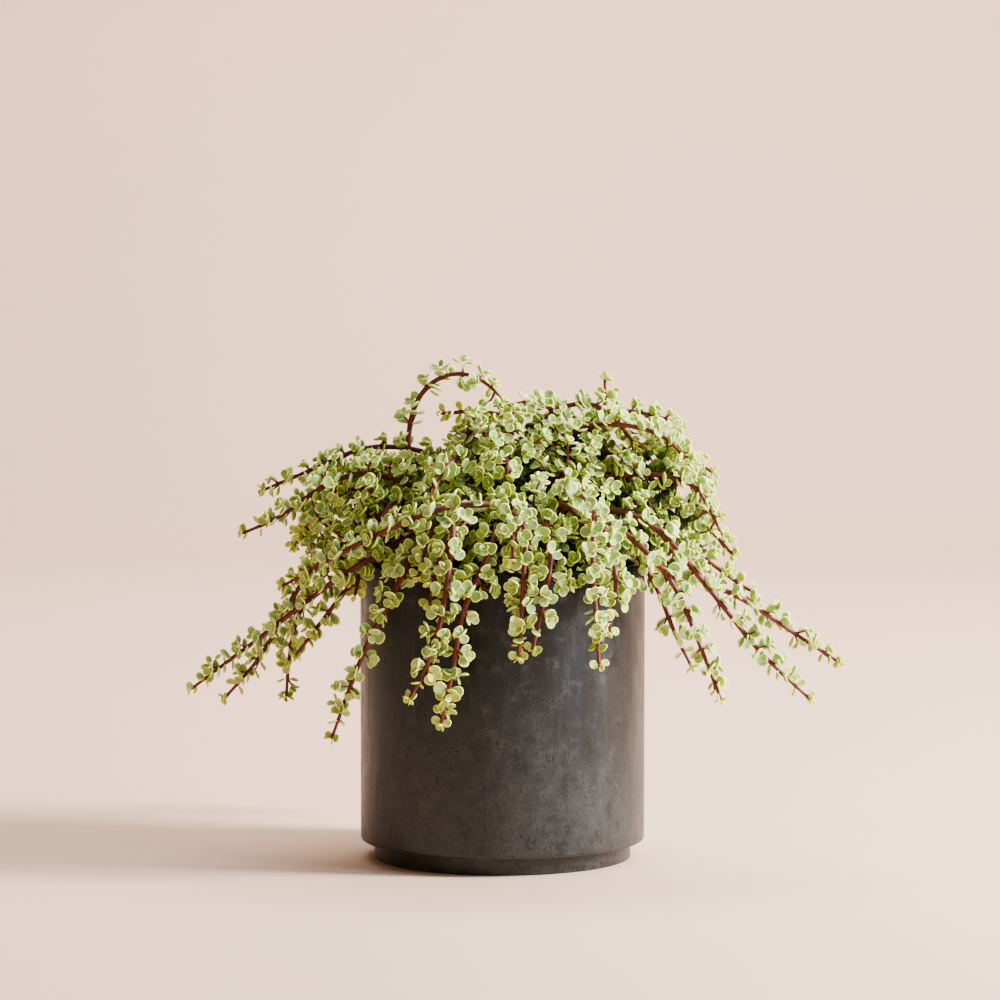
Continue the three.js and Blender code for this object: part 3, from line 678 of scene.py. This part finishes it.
def fill_crown(lines, shoots, room, random):
    """Grows a side shoot from the nearest stem to each place in the crown that is still bare."""
    for target in crown_targets(random):
        if norms(room.centres[:room.count] - target).min() < CROWN_GAP:
            continue
        offsets = target - room.axis[:, :3]
        distances = norms(offsets)
        order = np.argsort(distances)
        tried = set()
        for i in order[:PLACES_SEARCHED]:
            owner, place = room.owners[i]
            if owner is None or owner in tried or not SIDE_SHOOT[0] < distances[i] < SIDE_SHOOT[1]:
                continue
            line = lines[owner]
            along = line.direction(place)
            rise = offsets[i] @ along / distances[i]
            if place < STEM_FOOT or not SIDE_SHOOT_RISE[0] < rise < SIDE_SHOOT_RISE[1]:
                continue
            tried.add(owner)
            grown = shoots[owner].side_shoot(line.at(place), along, target)
            if grown or len(tried) > STEMS_TRIED:
                break


def paint_shade_on_inner_leaves(shoots, room):
    """The more leaves there are outside a leaf, the darker its colour is painted, as shade."""
    centres = room.centres[:room.count]
    for shoot in shoots:
        for leaf in shoot.leaves:
            outside = leaf.centre + unit(open_side(leaf.centre)) * CROWDING_REACH
            crowd = (norms(centres - outside) < CROWDING_REACH).sum()
            # painted shade: the leaf's tone is lowered as more leaves stand outside it
            leaf.tone_and_shade *= smooth_step(crowd, CROWDED, UNCROWDED)


def radius_along(share):
    shares, radii = zip(*BARK_RADII)
    return float(np.interp(share, shares, radii))


def node_places(length):
    """Where a stem's pairs of leaves stand, from its tip down to its bare foot."""
    places = []
    place = length - LAST_NODE
    while place > BARE_LENGTH:
        places.append(place)
        share = (place - BARE_LENGTH) / max(length - BARE_LENGTH, 1)
        place -= mix(NODE_SPACING, NODE_SPACING_AT_TIP, share ** 3)
    return places


def grow_stem(line, room, random):
    """The leaves of one stem, from its tip down, and the places of its nodes."""
    shoot = Shoot(room, random)
    places = node_places(line.length)
    for rank, place in enumerate(places):
        place = place + random.uniform(-NODE_SHIFT, NODE_SHIFT) * (rank > 0)
        share = place / line.length
        from_tip = line.length - place
        youth = smooth_step(from_tip, *YOUTH_REACH) * YOUTH + random.uniform(0, YOUTH_RANGE)
        size = LEAF_LENGTH * mix(1, TIP_LEAF_SHARE, smooth_step(from_tip, *TIP_LEAF_REACH))
        fullness = smooth_step(from_tip, *FULLNESS_REACH) * FULLNESS + LEAST_FULLNESS
        shoot.node(line, place, rank, radius_along(share), size, youth, fullness if rank else 0)
    tip = line.direction(line.length)
    light = light_at(line.points[-1], random)
    side = unit(np.cross(tip, light))
    shoot.rosette(line.points[-1] - tip * 0.5, tip, side, light,
                  size=LEAF_LENGTH * 0.62, pairs=2, youth=0.8)
    return shoot, places


# ---- meshes ----

def add_object(name, data):
    added = bpy.data.objects.new(name, data)
    bpy.context.scene.collection.objects.link(added)
    return added


def build_object(name, vertices, triangles, looks, slots, materials):
    """A mesh object. Vertices are in millimetres; looks are each vertex's colour values."""
    vertices = np.asarray(vertices, np.float32) * MM
    triangles = np.asarray(triangles, np.int32)
    mesh = bpy.data.meshes.new(name)
    mesh.vertices.add(len(vertices))
    mesh.vertices.foreach_set("co", vertices.ravel())
    mesh.loops.add(triangles.size)
    mesh.loops.foreach_set("vertex_index", triangles.ravel())
    mesh.polygons.add(len(triangles))
    mesh.polygons.foreach_set("loop_start", np.arange(0, triangles.size, 3, dtype=np.int32))
    mesh.polygons.foreach_set("material_index", np.asarray(slots, np.int32))
    mesh.polygons.foreach_set("use_smooth", np.full(len(triangles), True))
    if looks is not None:
        layer = mesh.attributes.new("look", "FLOAT_COLOR", "POINT")
        colours = np.ones((len(vertices), 4), np.float32)
        colours[:, :3] = looks
        layer.data.foreach_set("color", colours.ravel())
    mesh.update(calc_edges=True)
    mesh.validate()
    for material in materials:
        mesh.materials.append(material)
    return add_object(name, mesh)


def plain_object(name, vertices, triangles, material):
    """A mesh object of one material."""
    return build_object(name, vertices, triangles, None, np.zeros(len(triangles)), [material])


class Builder:
    """Collects parts of a mesh."""

    def __init__(self):
        self.parts = []
        self.count = 0

    def add(self, vertices, triangles, looks, slot):
        slots = np.full(len(triangles), slot)
        self.parts.append((vertices, np.asarray(triangles) + self.count, looks, slots))
        self.count += len(vertices)

    def build(self, name, materials):
        joined = [np.concatenate(arrays) for arrays in zip(*self.parts)]
        return build_object(name, *joined, materials)


def ring_triangles(first, second, sides):
    """Triangles between two rings that have the same number of corners."""
    triangles = []
    for i in range(sides):
        j = (i + 1) % sides
        triangles.append((first + i, first + j, second + j))
        triangles.append((first + i, second + j, second + i))
    return triangles


def disc_triangles(rings, sides):
    """Triangles that face up: a fan round the first point, and the rings outside it."""
    triangles = [(0, 1 + i, 1 + (i + 1) % sides) for i in range(sides)]
    for ring in range(rings - 1):
        first = 1 + ring * sides
        triangles += [t[::-1] for t in ring_triangles(first, first + sides, sides)]
    return triangles


def closed_triangles(rings, sides):
    """The same, with a fan from the last ring to a point after it."""
    last = 1 + (rings - 1) * sides
    fan = [(last + (i + 1) % sides, last + i, last + sides) for i in range(sides)]
    return disc_triangles(rings, sides) + fan


def blade_template(sides):
    """A fleshy spoon-shaped blade in shares of its length: points, triangles, rim share."""
    points = [(BLADE_CENTRE, 0, 0.0)]
    rims = [0.0]
    for share, height in BLADE_RINGS:
        for i in range(sides):
            angle = 2 * math.pi * i / sides
            along = math.cos(angle)
            across = math.sin(angle) * (BLADE_HALF_WIDTH + BLADE_FLARE * along)
            reach = BLADE_TIP_REACH if along > 0 else BLADE_BASE_REACH
            pinch = max(-along, 0) ** 6 * BLADE_PINCH * share
            points.append((
                BLADE_CENTRE + share * along * reach - pinch,
                share * across,
                height * (1 - max(-along, 0) ** 8),
            ))
            rims.append(share)
    points.append((BLADE_CENTRE, 0, BLADE_KEEL))
    rims.append(0.0)
    triangles = closed_triangles(len(BLADE_RINGS), sides)
    return np.array(points), np.array(triangles), np.array(rims)


LARGE_BLADE = blade_template(sides=11)
SMALL_BLADE = blade_template(sides=8)


def add_leaf(builder, leaf):
    """A blade in its place, with its far half bent up or down."""
    points, triangles, rims = LARGE_BLADE if leaf.length > LARGE_BLADE_LENGTH else SMALL_BLADE
    along = points[:, 0:1] * leaf.length
    across = points[:, 1:2] * (leaf.length * BLADE_WIDTH)
    height = points[:, 2:3] * leaf.length
    height = height + leaf.bend * leaf.length * (points[:, 0:1] - BLADE_BEND_START) ** 2 * 2
    vertices = leaf.base + along * leaf.pointing + across * leaf.across + height * leaf.facing
    looks = np.column_stack([
        rims, np.full(len(points), leaf.tone_and_shade), np.full(len(points), leaf.youth)])
    builder.add(vertices, triangles, looks, 1)


def add_tube(builder, line, radii, ages, sides, places):
    """A round tube along a line with a rounded end. Radii and ages are given at each place."""
    direction = line.direction(places[0])
    any_side = np.array([0.3, 0.9, 0.32])
    normal = unit(np.cross(direction, any_side))
    vertices = []
    looks = []
    for place, radius, (age, ring) in zip(places, radii, ages):
        direction = line.direction(place, 1.5)
        normal = unit(normal - direction * (normal @ direction))
        other = np.cross(direction, normal)
        centre = line.at(place)
        for i in range(sides):
            angle = 2 * math.pi * i / sides
            vertices.append(centre + (math.cos(angle) * normal + math.sin(angle) * other) * radius)
            looks.append((age, 0.5, ring))
    triangles = []
    for ring in range(len(places) - 1):
        triangles += ring_triangles(ring * sides, (ring + 1) * sides, sides)
    vertices.append(line.at(places[0]))
    vertices.append(line.at(places[-1]) + direction * radii[-1] * ROUND_END)
    looks += [(*looks[0][:2], 0), (*looks[-1][:2], 0)]
    start, end = len(vertices) - 2, len(vertices) - 1
    last = (len(places) - 1) * sides
    for i in range(sides):
        j = (i + 1) % sides
        triangles.append((start, j, i))
        triangles.append((end, last + i, last + j))
    builder.add(np.array(vertices), triangles, np.array(looks), 0)


def add_bark(builder, line, nodes):
    """The bark of a stem, swollen a little at each node."""
    nodes = np.array(sorted(nodes))
    places = list(np.arange(0, line.length - 1, BARK_STEP))
    places += [node + shift for node in nodes for shift in NODE_RINGS]
    places = sorted(place for place in set(places) if 0 <= place < line.length - 0.4)
    places = [place for i, place in enumerate(places)
              if i == 0 or place - places[i - 1] > SHORTEST_BARK_STEP]
    places.append(line.length)
    radii = []
    ages = []
    for place in places:
        share = place / line.length
        away = np.abs(nodes - place).min() if len(nodes) else 99
        ring = math.exp(-(away / NODE_SWELLING_REACH) ** 2)
        radii.append(radius_along(share) + NODE_SWELLING * ring)
        ages.append((1 - share, ring))
    add_tube(builder, line, radii, ages, BARK_SIDES, places)


def lathe(profile, segments):
    """A closed solid of revolution from a profile that starts and ends on the axis."""
    angles = 2 * np.pi * np.arange(segments) / segments
    circle = np.column_stack([np.cos(angles), np.sin(angles)])
    vertices = [(0, 0, profile[0][1])]
    for radius, height in profile[1:-1]:
        vertices += [(x * radius, y * radius, height) for x, y in circle]
    vertices.append((0, 0, profile[-1][1]))
    return vertices, [t[::-1] for t in closed_triangles(len(profile) - 2, segments)]


def rounded(corner, radius, start, end):
    """A profile's rounded corner, from one angle to another in degrees."""
    angles = np.radians(np.linspace(start, end, CORNER_STEPS))
    return [(corner[0] + radius * math.cos(a), corner[1] + radius * math.sin(a)) for a in angles]


def pot_profile():
    """The pot's section, from the middle of its base round to the middle of its floor."""
    inner = POT_RADIUS - POT_WALL
    rim = POT_HEIGHT - RIM_ROUND
    low = FOOT_HEIGHT + LOWER_ROUND
    profile = [(0, 0), (FOOT_RADIUS * 0.5, 0)]
    profile += rounded((FOOT_RADIUS - FOOT_ROUND, FOOT_ROUND), FOOT_ROUND, -90, 0)
    # A small hollow where the foot meets the pot's underside.
    profile += [(FOOT_RADIUS, FOOT_HEIGHT - 0.9), (FOOT_RADIUS + 0.3, FOOT_HEIGHT - 0.1),
                (FOOT_RADIUS + 1, FOOT_HEIGHT)]
    profile += rounded((POT_RADIUS - LOWER_ROUND, low), LOWER_ROUND, -90, 0)
    heights = np.linspace(low, rim, POT_WALL_STEPS)[1:-1]
    profile += [(POT_RADIUS, height) for height in heights]
    profile += rounded((POT_RADIUS - RIM_ROUND, rim), RIM_ROUND, 0, 90)
    profile += rounded((inner + RIM_ROUND, rim), RIM_ROUND, 90, 180)
    profile += [(inner, height) for height in (*INNER_HEIGHTS, POT_FLOOR + FLOOR_ROUND)]
    profile += [(inner - FLOOR_ROUND, POT_FLOOR), (inner * 0.5, POT_FLOOR), (0, POT_FLOOR)]
    return profile


def soil_mesh():
    """A slab of potting soil with a lumpy top."""
    radius = POT_RADIUS - POT_WALL - SOIL_CLEARANCE
    vertices = [(0, 0, SOIL_CROWN_HEIGHT)]
    for ring in range(1, SOIL_RINGS + 1):
        for i in range(SOIL_SEGMENTS):
            angle = 2 * math.pi * i / SOIL_SEGMENTS
            r = radius * ring / SOIL_RINGS
            x, y = r * math.cos(angle), r * math.sin(angle)
            lumps = sum(noise.noise((x / width, y / width, place)) * height
                        for width, height, place in SOIL_LUMPS)
            vertices.append((x, y, soil_height(x, y) + lumps * smooth_step(radius - r, -1, 4)))
    vertices += [(x, y, SOIL_UNDERSIDE) for x, y, _ in vertices[-SOIL_SEGMENTS:]]
    vertices.append((0, 0, SOIL_UNDERSIDE))
    return vertices, closed_triangles(SOIL_RINGS + 1, SOIL_SEGMENTS)


# ---- materials ----

class Nodes:
    """A material's node tree, with short calls for the nodes that are used here."""

    def __init__(self, name):
        self.material = bpy.data.materials.new(name)
        self.material.use_nodes = True
        self.tree = self.material.node_tree
        self.shader = self.tree.nodes["Principled BSDF"]

    def add(self, kind, inputs=(), **settings):
        node = self.tree.nodes.new(kind)
        for key, value in settings.items():
            setattr(node, key, value)
        for key, value in dict(inputs).items():
            self.feed(node.inputs[key], value)
        return node

    def feed(self, socket, value):
        if isinstance(value, bpy.types.NodeSocket):
            self.tree.links.new(value, socket)
        else:
            socket.default_value = value

    def set(self, **inputs):
        for key, value in inputs.items():
            self.feed(self.shader.inputs[key.replace("_", " ")], value)

    def mix(self, share, a, b):
        node = self.add("ShaderNodeMix", data_type="RGBA")
        self.feed(node.inputs[0], share)
        self.feed(node.inputs[6], a)
        self.feed(node.inputs[7], b)
        return node.outputs[2]

    def math(self, operation, a, b):
        node = self.add("ShaderNodeMath", operation=operation)
        self.feed(node.inputs[0], a)
        self.feed(node.inputs[1], b)
        return node.outputs[0]

    def remap(self, value, low, high, to_low=0.0, to_high=1.0):
        node = self.add("ShaderNodeMapRange", {
            "Value": value, "From Min": low, "From Max": high, "To Min": to_low,
            "To Max": to_high}, interpolation_type="SMOOTHSTEP")
        return node.outputs[0]

    def noise(self, scale, detail=3.0, roughness=0.55, stretch=(1, 1, 1)):
        place = self.add("ShaderNodeTexCoord").outputs["Object"]
        if stretch != (1, 1, 1):
            place = self.add("ShaderNodeMapping", {"Vector": place, "Scale": stretch}).outputs[0]
        return self.add("ShaderNodeTexNoise", {
            "Vector": place, "Scale": scale, "Detail": detail,
            "Roughness": roughness}).outputs["Fac"]

    def bump(self, height, strength, distance):
        return self.add("ShaderNodeBump", {
            "Height": height, "Strength": strength, "Distance": distance}).outputs[0]

    def looks(self):
        colour = self.add("ShaderNodeAttribute", attribute_name="look").outputs["Color"]
        return self.add("ShaderNodeSeparateColor", {"Color": colour}).outputs


def leaf_material():
    nodes = Nodes("leaf")
    rim, tone_and_shade, youth = nodes.looks()
    cells = nodes.noise(420, 3)
    # Painted shade: the tone also carries the darkening of crowded inner leaves, so these get a darker
    # green.
    freshness_and_shade = nodes.remap(tone_and_shade, 0.35, 1)
    green = nodes.mix(freshness_and_shade, (0.24, 0.40, 0.17, 1), (0.47, 0.68, 0.34, 1))
    green = nodes.mix(nodes.remap(cells, 0.35, 0.7), green, (0.33, 0.51, 0.20, 1))
    green = nodes.mix(youth, green, (0.48, 0.60, 0.14, 1))
    cream = nodes.mix(freshness_and_shade, (0.92, 0.96, 0.28, 1), (0.95, 1.0, 0.33, 1))
    cream = nodes.mix(youth, cream, (0.92, 0.94, 0.24, 1))
    marbling = nodes.remap(nodes.noise(260, 2), 0.56, 0.72, 0, 0.45)
    green = nodes.mix(marbling, green, cream)
    ragged = nodes.math("ADD", rim, nodes.math("MULTIPLY", nodes.noise(700, 2), 0.2))
    blade = nodes.mix(nodes.remap(ragged, 0.87, 0.99), green, cream)
    nodes.set(
        # Painted shade: the lowest tones, mostly of crowded inner leaves, are mixed towards near-black
        # green.
        Base_Color=nodes.mix(nodes.remap(tone_and_shade, 0.05, 0.45), (0.035, 0.07, 0.018, 1), blade),
        Roughness=nodes.remap(cells, 0.3, 0.7, 0.36, 0.5),
        Normal=nodes.bump(nodes.noise(1500, 2), 0.25, 0.0002),
        Specular_IOR_Level=0.28,
        Specular_Tint=(0.93, 1.0, 0.6, 1),
        Subsurface_Weight=0.12,
        Subsurface_Radius=(0.6, 0.9, 0.25),
        Subsurface_Scale=0.0018,
    )
    return nodes.material


def bark_material():
    nodes = Nodes("bark")
    age, _, ring = nodes.looks()
    streaks = nodes.noise(520, 4)
    young = nodes.mix(streaks, (0.09, 0.014, 0.013, 1), (0.25, 0.062, 0.056, 1))
    old = nodes.mix(streaks, (0.06, 0.017, 0.014, 1), (0.17, 0.058, 0.048, 1))
    bark = nodes.mix(nodes.remap(age, 0.35, 0.95), young, old)
    bark = nodes.mix(nodes.math("MULTIPLY", ring, 0.35), bark, (0.05, 0.018, 0.012, 1))
    nodes.set(
        Base_Color=bark,
        Roughness=nodes.remap(streaks, 0.3, 0.7, 0.3, 0.5),
        Normal=nodes.bump(nodes.noise(900, 4), 0.5, 0.0004),
    )
    return nodes.material


def pot_material():
    nodes = Nodes("pot")
    place = nodes.add("ShaderNodeTexCoord").outputs["Object"]
    height = nodes.add("ShaderNodeSeparateXYZ", {"Vector": place}).outputs["Z"]
    clouds = nodes.noise(20, 4, 0.6)
    mottle = nodes.noise(110, 6, 0.7)
    streaks = nodes.noise(300, 4, 0.6, (1, 1, 0.1))
    grain = nodes.noise(900, 3, 0.6)
    spots = nodes.add("ShaderNodeTexVoronoi", {"Vector": place, "Scale": 340.0},
                      feature="F1").outputs["Distance"]
    scattered = nodes.remap(nodes.noise(45, 3), 0.48, 0.66)
    speck = nodes.math("MULTIPLY", nodes.remap(spots, 0.34, 0.16), scattered)
    base = (0.010, 0.0105, 0.011, 1)
    for pattern, low, high, most, colour in (
        (clouds, 0.35, 0.7, 1, (0.025, 0.0255, 0.0245, 1)),
        # Painted light: the pot's colour is made lighter towards its foot.
        (height, 0.13, 0.02, 0.5, (0.070, 0.067, 0.061, 1)),
        (mottle, 0.5, 0.68, 0.65, (0.068, 0.067, 0.062, 1)),
        (mottle, 0.5, 0.34, 0.7, (0.011, 0.0105, 0.010, 1)),
        (streaks, 0.5, 0.75, 0.45, (0.050, 0.052, 0.055, 1)),
        (grain, 0.62, 0.38, 0.45, (0.008, 0.008, 0.008, 1)),
    ):
        base = nodes.mix(nodes.remap(pattern, low, high, 0, most), base, colour)
    base = nodes.mix(nodes.math("MULTIPLY", speck, 0.85), base, (0.005, 0.005, 0.005, 1))
    rough = nodes.math("ADD", nodes.remap(mottle, 0.3, 0.75, 0.28, 0.44),
                       nodes.remap(streaks, 0.35, 0.7, 0, 0.12))
    relief = nodes.math("ADD", nodes.math("MULTIPLY", mottle, 0.5),
                        nodes.math("MULTIPLY", streaks, 0.5))
    relief = nodes.math("ADD", relief, nodes.math("MULTIPLY", grain, 0.25))
    relief = nodes.math("SUBTRACT", relief, nodes.math("MULTIPLY", speck, 0.5))
    nodes.set(
        Base_Color=base,
        Roughness=rough,
        Normal=nodes.bump(relief, 0.35, 0.0008),
        Specular_IOR_Level=0.54,
        Specular_Tint=(0.78, 0.89, 1.0, 1),
    )
    return nodes.material


def soil_material():
    nodes = Nodes("soil")
    lumps = nodes.noise(260, 5, 0.7)
    base = nodes.mix(nodes.remap(lumps, 0.3, 0.75), (0.012, 0.007, 0.004, 1),
                     (0.07, 0.042, 0.026, 1))
    nodes.set(Base_Color=base, Roughness=0.95, Normal=nodes.bump(lumps, 0.8, 0.0012))
    return nodes.material


def stage_material():
    nodes = Nodes("backdrop")
    paper = nodes.noise(3, 3)
    nodes.set(
        Base_Color=nodes.mix(paper, (0.79, 0.566, 0.43, 1), (0.82, 0.596, 0.46, 1)),
        Roughness=0.9,
    )
    return nodes.material


# ---- the pieces ----

def settle(piece, node):
    """The piece stands for a CAD node, whose part it hides, and moves with the root body."""
    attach(piece, "root")
    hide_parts(node)


def make_pot_and_soil():
    pot = plain_object("pot_body", *lathe(pot_profile(), POT_SEGMENTS), pot_material())
    settle(pot, "pot")
    soil = plain_object("potting_soil", *soil_mesh(), soil_material())
    settle(soil, "soil")


def make_stems():
    paths = dict(PLACED_STEMS)
    for seed, family in enumerate(STEM_FAMILIES):
        for number, path in enumerate(family_paths(family, seed), 1):
            paths[f"{family['name']}_{number}"] = path
    rooted = root_stems(list(paths.values()))
    curves = spread_stems(np.array([sample_path(path) for path in rooted]))
    lines = []
    for samples in curves:
        buried = samples[0] - [0, 0, STEM_START + ROOT_DEPTH - 1]
        lines.append(Line(np.vstack([buried, samples])))

    room = Room()
    for owner, line in enumerate(lines):
        room.add_line(line, radius_along, owner)
    grown = [grow_stem(line, room, np.random.default_rng(GROWTH_SEED + index))
             for index, line in enumerate(lines)]
    shoots = [shoot for shoot, _ in grown]
    fill_crown(lines, shoots, room, np.random.default_rng(GROWTH_SEED))
    paint_shade_on_inner_leaves(shoots, room)

    materials = [bark_material(), leaf_material()]
    for name, line, (shoot, nodes) in zip(paths, lines, grown):
        builder = Builder()
        add_bark(builder, line, nodes)
        for tube, radii in shoot.tubes:
            places = list(tube.lengths)
            add_tube(builder, tube, np.linspace(*radii, len(places)),
                     [TWIG_AGE] * len(places), TWIG_SIDES, places)
        for leaf in shoot.leaves:
            add_leaf(builder, leaf)
        piece = builder.build(f"elephant_bush_{name}", materials)
        settle(piece, f"stem_{name}")


# ---- stage, light and camera ----

def make_stage():
    """A pale floor that curves up into a wall all round, nearest behind the plant."""
    reach, back_reach, inner_reach, bend, height = 4800, 2500, 600, 900, 3600
    steps, segments = 12, 96
    profile = [(inner_reach - back_reach, 0), (0, 0)]
    for i in range(1, steps + 1):
        angle = math.pi / 2 * i / steps
        profile.append((bend * math.sin(angle), bend * (1 - math.cos(angle))))
    profile.append((bend, height))
    vertices = [(0, 0, 0)]
    for shift, z in profile:
        for i in range(segments):
            angle = 2 * math.pi * i / segments
            radius = shift + mix(reach, back_reach, max(math.sin(angle), 0) ** 2)
            vertices.append((radius * math.cos(angle), radius * math.sin(angle), z))
    plain_object("sweep", vertices, disc_triangles(len(profile), segments),
                          stage_material())


def add_light(name, place, target, size, power, colour):
    data = bpy.data.lights.new(name, "AREA")
    data.shape = "RECTANGLE"
    data.size, data.size_y = size
    data.energy = power
    data.color = colour
    lamp = add_object(name, data)
    direction = np.array(target) - np.array(place)
    lamp.location = place
    lamp.rotation_euler = (
        math.pi / 2 + math.atan2(direction[2], math.hypot(direction[0], direction[1])),
        0,
        math.atan2(direction[1], direction[0]) - math.pi / 2,
    )


def make_light():
    world = bpy.data.worlds.new("studio")
    world.use_nodes = True
    background = world.node_tree.nodes["Background"]
    background.inputs["Color"].default_value = (0.80, 0.95, 1.0, 1)
    background.inputs["Strength"].default_value = 0.11
    bpy.context.scene.world = world
    add_light("key", (2.02, -0.36, 1.2), (0, 0, 0.15), (0.45, 0.9), 152, (1.0, 0.965, 0.93))
    add_light("strip", (1.75, -0.97, 0.9), (0, 0, 0.1), (0.25, 1.1), 22, (0.55, 0.77, 1.0))
    add_light("overhead", (0.3, 0.2, 2.4), (0, 0.1, 0), (1.4, 1.4), 14, (1.0, 0.98, 0.94))
    add_light("wash", (0.5, 1.5, 2.8), (0.4, 2.9, 0.2), (3.6, 1.0), 130, (0.97, 0.98, 0.975))
    bpy.context.scene.view_settings.look = "AgX - Medium High Contrast"


def make_camera():
    slope = 0.1219 / 2.128
    data = bpy.data.cameras.new("camera")
    data.sensor_width = 36
    data.lens = 128.5
    camera = add_object("camera", data)
    camera.location = (-0.0015, -2.128, 0.3356)
    camera.rotation_euler = (math.pi / 2 - math.atan(slope), 0, 0)
    bpy.context.scene.camera = camera


make_pot_and_soil()
make_stems()
make_stage()
make_light()
make_camera()
